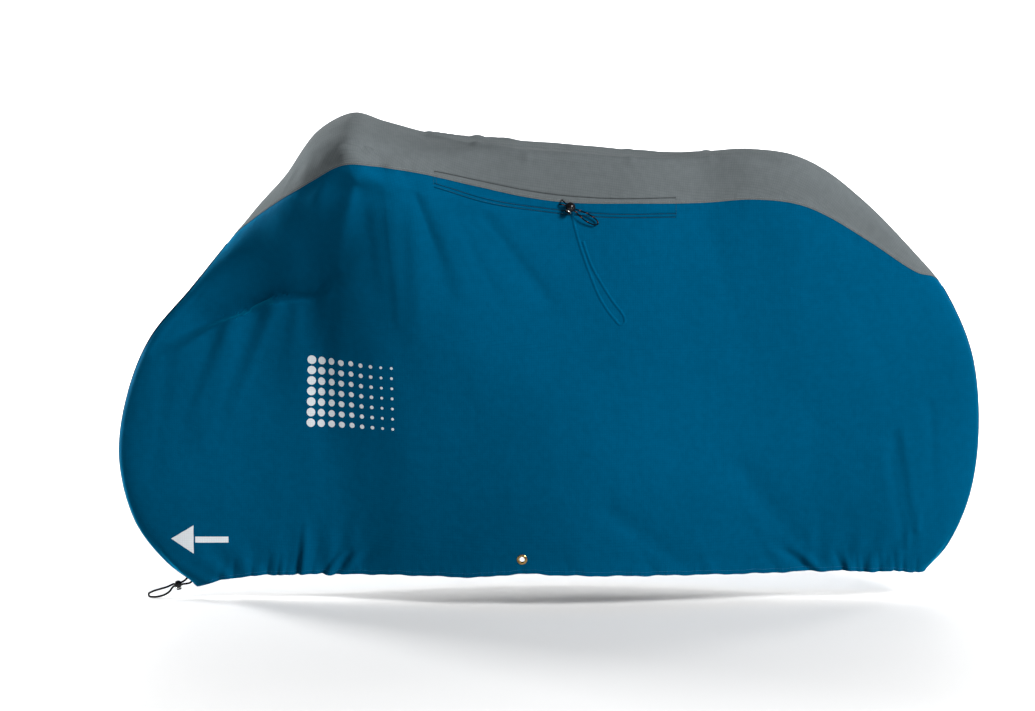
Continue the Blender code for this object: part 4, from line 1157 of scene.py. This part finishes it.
def sheet_mesh(name, middle, normals, outside, kept, layers):
    """A closed sheet from a grid of points on its middle. outside is the distance from there to the
    outer face, kept the cells that there are, and layers the UVs."""
    columns, rows = middle.shape[:2]
    outer = placed(middle + normals * outside[..., None]).reshape(-1, 3)
    inner = placed(middle - normals * CLOTH / 2).reshape(-1, 3)
    count = columns * rows
    index = np.arange(count).reshape(columns, rows)
    ring = [index[:-1, :-1], index[1:, :-1], index[1:, 1:], index[:-1, 1:]]
    faces = [np.stack(ring, axis=-1)[kept], np.stack([c + count for c in ring[::-1]], axis=-1)[kept]]
    padded = np.pad(kept, 1)
    sides = {(0, -1): (0, 1), (1, 0): (1, 2), (0, 1): (2, 3), (-1, 0): (3, 0)}
    for (di, dj), (start, end) in sides.items():
        beside = padded[1 + di:columns + di, 1 + dj:rows + dj]
        rim = kept & ~beside
        a, b = ring[start][rim], ring[end][rim]
        faces.append(np.stack([b, a, a + count, b + count], axis=-1))
    used = np.unique(np.concatenate([f.ravel() for f in faces]))
    renumber = np.full(2 * count, -1)
    renumber[used] = np.arange(len(used))
    mesh = new_mesh(name, np.concatenate([outer, inner])[used].tolist(),
                    renumber[np.concatenate(faces)].tolist())
    for layer, uv in layers.items():
        flat = uv.reshape(-1, 2)
        add_uv(mesh, layer, np.concatenate([flat, flat])[used])
    return closed(opened(mesh), mesh)


def row_lengths(seam, hem):
    """Lengths from the top line to the mesh rows of a side, closer at its seam, its folds and its hem."""
    length = hem - seam
    scale = min(1.0, length / (3 * (SEAM_BAND + HEM_BAND)))
    marks = [seam, seam + SEAM_BAND * scale, seam + length * FINE_SHARE, hem - HEM_BAND * scale, hem]
    marks[1] = min(marks[1], (marks[0] + marks[2]) / 2)
    counts = [SEAM_ROWS, FINE_ROWS, REST_ROWS, HEM_ROWS]
    lengths = [np.linspace(a, b, n, endpoint=False) for a, b, n in zip(marks, marks[1:], counts)]
    return np.append(np.concatenate(lengths), hem)


def side_grid():
    """The near side's grid: its points, how far each is from the seam and from the hem, and the
    outward normals."""
    points, from_seam, from_hem = [], [], []
    for place in COVER.columns(COLUMNS):
        girths, along = COVER.measured(place)
        lengths = row_lengths(COVER.top_half(place), along[-1])
        girths = np.interp(lengths, along, girths)
        base = COVER.points(place, girths)
        normals = COVER.normals(place, girths)
        seam_gap, hem_gap = lengths - lengths[0], lengths[-1] - lengths
        depth = side_relief(base[:, 0], base[:, 2], seam_gap)
        depth *= soft_step(seam_gap / SEAM_FREE)
        base -= normals * depth[:, None]
        base[:, 2] -= hem_drop(base[:, 0]) * soft_step(1 - hem_gap / HEM_FREE)
        points.append(base)
        from_seam.append(seam_gap)
        from_hem.append(hem_gap)
    points = np.array(points)
    return points, np.array(from_seam), np.array(from_hem), grid_normals(points)


def flatten_eye(points, normals):
    """Lays the cloth round the eyelet flat, and opens a round hole in it. Gives the cells that stay."""
    offset = points - EYE
    height = offset @ EYE_AXIS
    flat = offset - height[..., None] * EYE_AXIS
    share = soft_step(2 - np.linalg.norm(flat, axis=-1) / EYELET_FLAT)[..., None]
    points -= height[..., None] * EYE_AXIS * share
    normals[:] = unit(normals * (1 - share) + EYE_AXIS * share)
    distance = np.linalg.norm(flat, axis=-1)
    inside = distance < EYELET_HOLE
    kept = ~(inside[:-1, :-1] | inside[1:, :-1] | inside[1:, 1:] | inside[:-1, 1:])
    open_corners = np.zeros(points.shape[:2], bool)
    for a, b in ((0, 0), (1, 0), (1, 1), (0, 1)):
        open_corners[a:a + kept.shape[0], b:b + kept.shape[1]] |= ~kept
    edge = open_corners & ~inside
    points[edge] = EYE + unit(flat[edge]) * EYELET_HOLE
    return kept


def finish_sheet(name, mesh, material, nodes):
    cloth = finish(name, mesh, material, 50)
    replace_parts(cloth, *nodes)


def build_sides():
    """The two blue side panels, each one piece of cloth down to its folded hem."""
    points, from_seam, from_hem, normals = side_grid()
    kept = flatten_eye(points, normals)
    pattern = flat_uv(points, points[..., [0, 2]])
    outside = CLOTH / 2 + HEM_LIFT * soft_step((HEM_FOLD - from_hem) / HEM_EDGE)
    edges = np.stack([from_seam, from_hem], axis=-1)
    pocket = np.stack([from_line(POCKET_LOWER, points[..., 0], points[..., 2]), points[..., 0]], axis=-1)
    for suffix, mirror in SIDES.items():
        name = "side_cloth_" + suffix
        layers = {"cloth": pattern, "edges": edges,
                  "pocket": pocket if suffix == "near" else np.ones_like(pocket)}
        mesh = sheet_mesh(name, points * mirror, normals * mirror, outside, kept, layers)
        finish_sheet(name, mesh, blue_cloth,
                     ("side_panel_" + suffix, "hem_strip_" + suffix))
    return points, normals


def top_relief(x, length, half):
    """How far the grey panel's folds take it in, on both sides of its ridge."""
    from_edge = half - np.abs(length)
    depth = fold_depth(TOP_FOLDS.values(), x, np.abs(length), thinning=0.2) * soft_step(from_edge / 0.03)
    return depth + unevenness(x, length) * soft_step(from_edge / 0.05)


def build_top():
    """The grey panel over the ridge. Its folded edges lie proud of the blue cloth."""
    front, rear = COVER.leaf_tips
    points, lengths = [], []
    for place in COVER.columns(COLUMNS):
        if front <= place <= rear:
            half = COVER.top_half(place)
            band = min(FELL, half * 0.4)
            inner = np.linspace(0, half - band * 1.25, TOP_HALF_ROWS)
            edge = [half - band, half - band * 0.5, half]
            across = np.concatenate([inner, edge])
            across = np.concatenate([-across[:0:-1], across])
            girths = COVER.girths_at(place, across)
            base = COVER.points(place, girths)
            depth = top_relief(base[:, 0], across, half)
            points.append(base - COVER.normals(place, girths) * depth[:, None])
            lengths.append(across)
    points, lengths = np.array(points), np.array(lengths)
    normals = grid_normals(points)
    ridge = points[:, points.shape[1] // 2]
    along = lengths_along(ridge)
    start = np.stack([np.broadcast_to(along[:, None], lengths.shape), lengths], axis=-1)
    pattern = flat_uv(points, start)
    half = np.abs(lengths).max(axis=1, keepdims=True)
    from_seam = half - np.abs(lengths)
    outside = CLOTH / 2 + FELL_LIFT * soft_step((FELL * 1.2 - from_seam) / FELL_EDGE) * soft_step(half / 0.02)
    edges = np.stack([from_seam, np.ones_like(from_seam)], axis=-1)
    kept = np.ones((points.shape[0] - 1, points.shape[1] - 1), bool)
    pocket = np.stack([from_line(POCKET_UPPER, points[..., 0], points[..., 2]), points[..., 0]], axis=-1)
    pocket[points[..., 1] > 0] = 1.0
    mesh = sheet_mesh("top_cloth", points, normals, outside, kept,
                      {"cloth": pattern, "edges": edges, "pocket": pocket})
    finish_sheet("top_cloth", mesh, grey_cloth, ("top_panel",))
    return points, normals


side_points, side_normals = build_sides()
top_points, top_normals = build_top()


# Seams and stitches ------------------------------------------------------------------------------

STITCHING = {}           # rows of stitches by their thread: their places, ways and normals


def resampled(points, normals, pitch):
    """Even steps along a line on the cloth: points, ways and normals."""
    along = lengths_along(points)
    at = np.arange(pitch, along[-1] - pitch / 2, pitch)
    places, ups = (np.stack([np.interp(at, along, line[:, k]) for k in range(3)], axis=-1)
                   for line in (points, normals))
    return places, tangents_of(places), unit(ups)


def stitch_row(thread, points, normals, lift=0.0):
    """A row of stitches along a line on the cloth's middle, lift above its outer face."""
    places, ways, ups = resampled(points, normals, STITCH_PITCH)
    raised = places + ups * (CLOTH / 2 + lift + THREAD * 0.35)
    STITCHING.setdefault(thread, []).append((raised, ways, ups))


def build_stitches(name, material, rows):
    """All the stitches of one thread: each is a small bead, pointed at both ends, that dips in."""
    vertices, faces = [], []
    for places, ways, ups in rows:
        for place, way, up in zip(places, ways, ups):
            side = np.cross(way, up)
            base = len(vertices)
            vertices += [place + way * STITCH * end - up * THREAD * 1.3 for end in (-0.5, 0.5)]
            for share in (-STITCH_BODY, STITCH_BODY):
                middle = place + way * STITCH * share
                for across, height in ((1.0, 0.0), (0.0, 1.0), (-1.0, 0.0), (0.0, -1.0)):
                    vertices.append(middle + side * THREAD * across + up * THREAD * height)
            first, second = base + 2, base + 6
            for k in range(4):
                n = (k + 1) % 4
                faces += [(base, first + k, first + n), (base + 1, second + n, second + k),
                          (first + k, second + k, second + n, first + n)]
    return finish(name, new_mesh(name, [tuple(placed(v)) for v in vertices], faces), material)


def bead(name, points, normals, profile, material):
    """A low strip along a line on the cloth. profile is its section: how far across and how far above
    the cloth's outer face. Its UV continues the cloth's, as seen from the side."""
    across = unit(np.cross(tangents_of(points), normals))
    over, height = np.array(profile).T
    rings = (points[:, None] + across[:, None] * over[:, None]
             + normals[:, None] * (CLOTH / 2 + height)[:, None])
    return band_mesh(name, rings, material)


def swell(half, height):
    """A bead's section that rises out of the cloth without an edge."""
    profile = [(half * s, height * (0.5 + 0.5 * math.cos(math.pi * s)) - 0.0001)
               for s in np.linspace(-1, 1, 9)]
    return profile + [(half * 0.8, -SUNK), (-half * 0.8, -SUNK)]


SUNK = 0.0006            # how far a bead's foot is sunk into the cloth
BINDING = 0.0010         # height of the noses' bound seams


def build_nose_seams():
    """The centre seams of both noses: a narrow bound band with a row of stitches on each side."""
    front, rear = COVER.leaf_tips
    ends = {"front": (COVER.station("front corner") + 0.01, front - 0.01),
            "rear": (rear + 0.01, COVER.station("rear corner") - 0.01)}
    across = np.array([-1.0, -0.94, -0.6, -0.3, 0.0, 0.3, 0.6, 0.94, 1.0]) * NOSE_BAND
    heights = np.array([-0.2, 0.7, 1.0, 1.0, 1.0, 1.0, 1.0, 0.7, -0.2]) * BINDING
    for name, (start, stop) in ends.items():
        outer, inner, stitch = [], [], {2: [], 6: []}
        for place in np.linspace(start, stop, NOSE_STEPS):
            reach = min(1.0, COVER.measured(place)[1][-1] / (2 * NOSE_BAND))
            girths = COVER.girths_at(place, across * reach)
            points, normals = COVER.points(place, girths), COVER.normals(place, girths)
            outer.append(points + normals * (CLOTH / 2 + heights)[:, None])
            inner.append(points + normals * (CLOTH / 2 - 0.0005))
            for k, line in stitch.items():
                line.append((points[k], normals[k]))
        rings = np.concatenate([np.array(outer), np.array(inner)[:, ::-1]], axis=1)
        band_mesh("centre_seam_" + name, rings, bound_cloth)
        for line in stitch.values():
            line = np.array(line)
            stitch_row("bound", line[:, 0], line[:, 1], BINDING - 0.0001)


def band_mesh(name, rings, material):
    """A closed band through rings of points, which lie one after another along it."""
    steps, count = rings.shape[:2]
    vertices = placed(rings).reshape(-1, 3)
    faces = []
    for i in range(steps - 1):
        for k in range(count):
            n = (k + 1) % count
            faces.append((i * count + k, i * count + n, (i + 1) * count + n, (i + 1) * count + k))
    last = (steps - 1) * count
    faces += [tuple(range(count)), tuple(range(last + count - 1, last - 1, -1))]
    mesh = new_mesh(name, vertices.tolist(), faces)
    seen = rings[..., [0, 2]].reshape(-1, 2)
    for layer, uv in (("cloth", seen), ("edges", np.ones_like(seen)), ("pocket", np.ones_like(seen))):
        add_uv(mesh, layer, uv)
    return finish(name, closed(opened(mesh), mesh), material, 60)


def build_seam_stitches():
    """Two rows of stitches on the folded edges of the grey panel, and one on each hem."""
    ends = ROW_ENDS[0]
    for edge, middle, inner in ((-1, -2, -3), (0, 1, 2)):
        for first, second, share in ((edge, middle, 0.15), (middle, inner, 0.40)):
            line = top_points[:, first] * (1 - share) + top_points[:, second] * share
            stitch_row("grey", line[ends:-ends], top_normals[ends:-ends, edge], FELL_LIFT)
    ends = ROW_ENDS[1]
    row = side_points.shape[1] - 1 - int(round(HEM_STITCHES / (HEM_BAND / HEM_ROWS)))
    for mirror in SIDES.values():
        stitch_row("blue", side_points[ends:-ends, row] * mirror, side_normals[ends:-ends, row] * mirror,
                   HEM_LIFT)


TOPPED = slice(8, 24)    # the sections that the grey panel crosses
SEARCH_STEPS, LONGEST_STEP = 14, 0.3     # of the search for a place on the surface


def on_side(x, z):
    """A point on the near half's smooth surface at a place in the view from the side."""
    start = int(np.argmin(np.abs(COVER.table[TOPPED, 0] - x))) + TOPPED.start
    place, girth = COVER.stations[start], 0.4
    for _ in range(SEARCH_STEPS):
        here = COVER.points(place, [girth, girth + REACH])
        ahead = COVER.points(place + REACH, [girth])[0]
        slope = np.array([[ahead[0] - here[0, 0], here[1, 0] - here[0, 0]],
                          [ahead[2] - here[0, 2], here[1, 2] - here[0, 2]]]) / REACH
        miss = np.array([x - here[0, 0], z - here[0, 2]])
        step = np.clip(np.linalg.solve(slope, miss), -LONGEST_STEP, LONGEST_STEP)
        place = float(np.clip(place + step[0], 0.01, COVER.stations[-1] - 0.01))
        girth = float(np.clip(girth + step[1], 0.001, 0.999))
    return COVER.points(place, [girth])[0], COVER.normals(place, [girth])[0]


def side_line(knots, spacing=0.008):
    """A smooth line on the near side through places in the view from the side."""
    knots = np.array(knots, float)
    along = lengths_along(knots)
    at = np.linspace(0, along[-1], max(3, int(along[-1] / spacing) + 1))
    pairs = [on_side(x, z) for x, z in smooth_curve(along, knots, at)]
    points, normals = (np.array([pair[k] for pair in pairs]) for k in (0, 1))
    depth = side_depths(points)
    return points - normals * depth[:, None], normals


def side_depths(points):
    """The finer folds' depth under a line, where it lies below the seam."""
    seam = [COVER.points(p, [COVER.seam_girth(p)])[0] for p in COVER.stations[TOPPED]]
    seam = np.array(sorted((s[0], s[2]) for s in seam))
    below = np.interp(points[:, 0], seam[:, 0], seam[:, 1]) - points[:, 2]
    below = np.maximum(below, 0)
    return side_relief(points[:, 0], points[:, 2], below) * soft_step(below / SEAM_FREE)


def build_pocket():
    """The stow pocket's rows of stitching, which draw the cloth into shallow grooves, and the relief of
    the cord that lies behind the cloth."""
    for knots in (POCKET_UPPER, POCKET_LOWER, np.array(POCKET_LOWER) - [0, POCKET_DOUBLE]):
        points, normals = side_line(knots)
        stitch_row("dark", points, normals, -THREAD * 0.3)
    for shift in (0.0, 0.007):
        points, normals = side_line([(-0.2745 + shift, 1.072 - shift * 0.3), (-0.281 + shift, 1.040)], 0.004)
        stitch_row("dark", points, normals, 0.0006)
    points, normals = side_line([(0.304, 1.001), (0.304, 0.957)], 0.004)
    stitch_row("dark", points, normals, 0.0006)
    points, normals = side_line(HIDDEN_CORD, 0.003)
    bead("hidden_cord_relief", points, normals, swell(0.0052, 0.0021), blue_cloth)


build_nose_seams()
build_seam_stitches()
build_pocket()
for name, thread, material, slot in (("blue_stitches", "blue", blue_thread, "blue_cloth"),
                                     ("nose_stitches", "bound", bound_thread, "blue_cloth"),
                                     ("grey_stitches", "grey", grey_thread, "grey_cloth"),
                                     ("pocket_stitches", "dark", dark_thread, "blue_cloth")):
    build_stitches(name, material, STITCHING[thread])


# Eyelets -----------------------------------------------------------------------------------------

def build_eyelets():
    """Brass eyelets: a barrel rolled over outside, and a washer inside."""
    seat = CLOTH / 2 + 0.0002
    roll = (EYELET_FLANGE - EYELET_BORE) / 2
    crown = arc((EYELET_BORE + roll, seat - ROLL_HEIGHT), roll, 20, 160, 18)
    crown = [(r, seat + max(0.0, (h - seat + ROLL_HEIGHT) / roll * ROLL_HEIGHT)) for r, h in crown]
    outer = [(EYELET_FLANGE, seat), (EYELET_FLANGE, seat + 0.0005)]
    throat = [(EYELET_BORE + 0.0001, seat + 0.0003), (EYELET_BORE, -seat - 0.0002)]
    washer = [(EYELET_BORE + 0.0004, -seat - 0.0009), (EYELET_FLANGE - 0.0006, -seat - 0.0008),
              (EYELET_FLANGE, -seat - 0.0004), (EYELET_FLANGE, -seat), (EYELET_BARREL, -seat),
              (EYELET_BARREL, seat)]
    profile = outer + crown + throat + washer
    for suffix, mirror in SIDES.items():
        mesh = lathe(profile, EYELET_SIDES)
        mesh.transform(frame_on(placed(EYE * mirror), EYE_AXIS * mirror))
        ring = finish("brass_eyelet_" + suffix, mesh, brass, 50)
        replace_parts(ring, "eyelet_" + suffix)


build_eyelets()


# Floor and lights --------------------------------------------------------------------------------

FLOOR_FRONT, FLOOR_HALF = -12.0, 14.0    # the floor's front edge and half of its width
WALL_Y, WALL_RADIUS, WALL_HEIGHT = 6.0, 1.5, 6.0
FLOOR_TONE = 0.56
MIDDLE = (-0.5, 0.0, -0.5)
WORLD_LIGHT = 0.06

# One row is one soft light: where it stands, the place that it faces, its two sides and its power.
LIGHTS = {
    "key":            ((7.1, -7.3, 6.3), MIDDLE, (3.8, 3.2), 3080),
    "back":           ((0.4, 3.4, 3.4), MIDDLE, (4.4, 2.0), 70),
    "front edge":     ((-4.7, 2.3, -0.1), (-1.4, 0.0, -0.3), (1.2, 0.8), 620),
    "rear edge":      ((3.6, 2.4, 0.9), (0.5, 0.0, -0.6), (1.0, 2.0), 110),
    "backdrop light": ((-0.5, 3.4, 5.4), (-0.5, 11.9, 0.1), (9.0, 2.0), 2400),
}


def build_stage():
    """A pale floor that curves up into a backdrop."""
    profile = [(FLOOR_FRONT, 0.0), (WALL_Y, 0.0)]
    profile += [(WALL_Y + WALL_RADIUS * math.sin(a), WALL_RADIUS - WALL_RADIUS * math.cos(a))
                for a in np.linspace(0, math.pi / 2, 24)[1:]]
    profile.append((WALL_Y + WALL_RADIUS, WALL_HEIGHT))
    vertices = [(x, y, FLOOR_Z + z) for y, z in profile for x in (-FLOOR_HALF, FLOOR_HALF)]
    faces = [(2 * k, 2 * k + 1, 2 * k + 3, 2 * k + 2) for k in range(len(profile) - 1)]
    mesh = new_mesh("floor", vertices, faces)
    mesh.shade_smooth()
    shader = Shader("pale floor", Specular_IOR_Level=0.1)
    colour = shader.scaled((FLOOR_TONE, FLOOR_TONE, FLOOR_TONE, 1.0), shader.patches(1.5, 0.985, 1.0))
    mesh.materials.append(shader.use(colour, 0.6))
    linked("floor", mesh)


def build_lights():
    world = bpy.data.worlds.new("studio")
    world.use_nodes = True
    background = world.node_tree.nodes["Background"]
    background.inputs["Color"].default_value = (1.0, 1.0, 1.0, 1.0)
    background.inputs["Strength"].default_value = WORLD_LIGHT
    bpy.context.scene.world = world
    for name, (place, target, size, power) in LIGHTS.items():
        data = bpy.data.lights.new(name, "AREA")
        data.shape = "RECTANGLE"
        data.size, data.size_y = size
        data.energy = power
        light = linked(name, data)
        light.location = place
        light.rotation_euler = (Vector(target) - Vector(place)).to_track_quat("-Z", "Y").to_euler()
    settings = bpy.context.scene.view_settings
    settings.view_transform = "Standard"
    settings.look = "None"


build_stage()
build_lights()
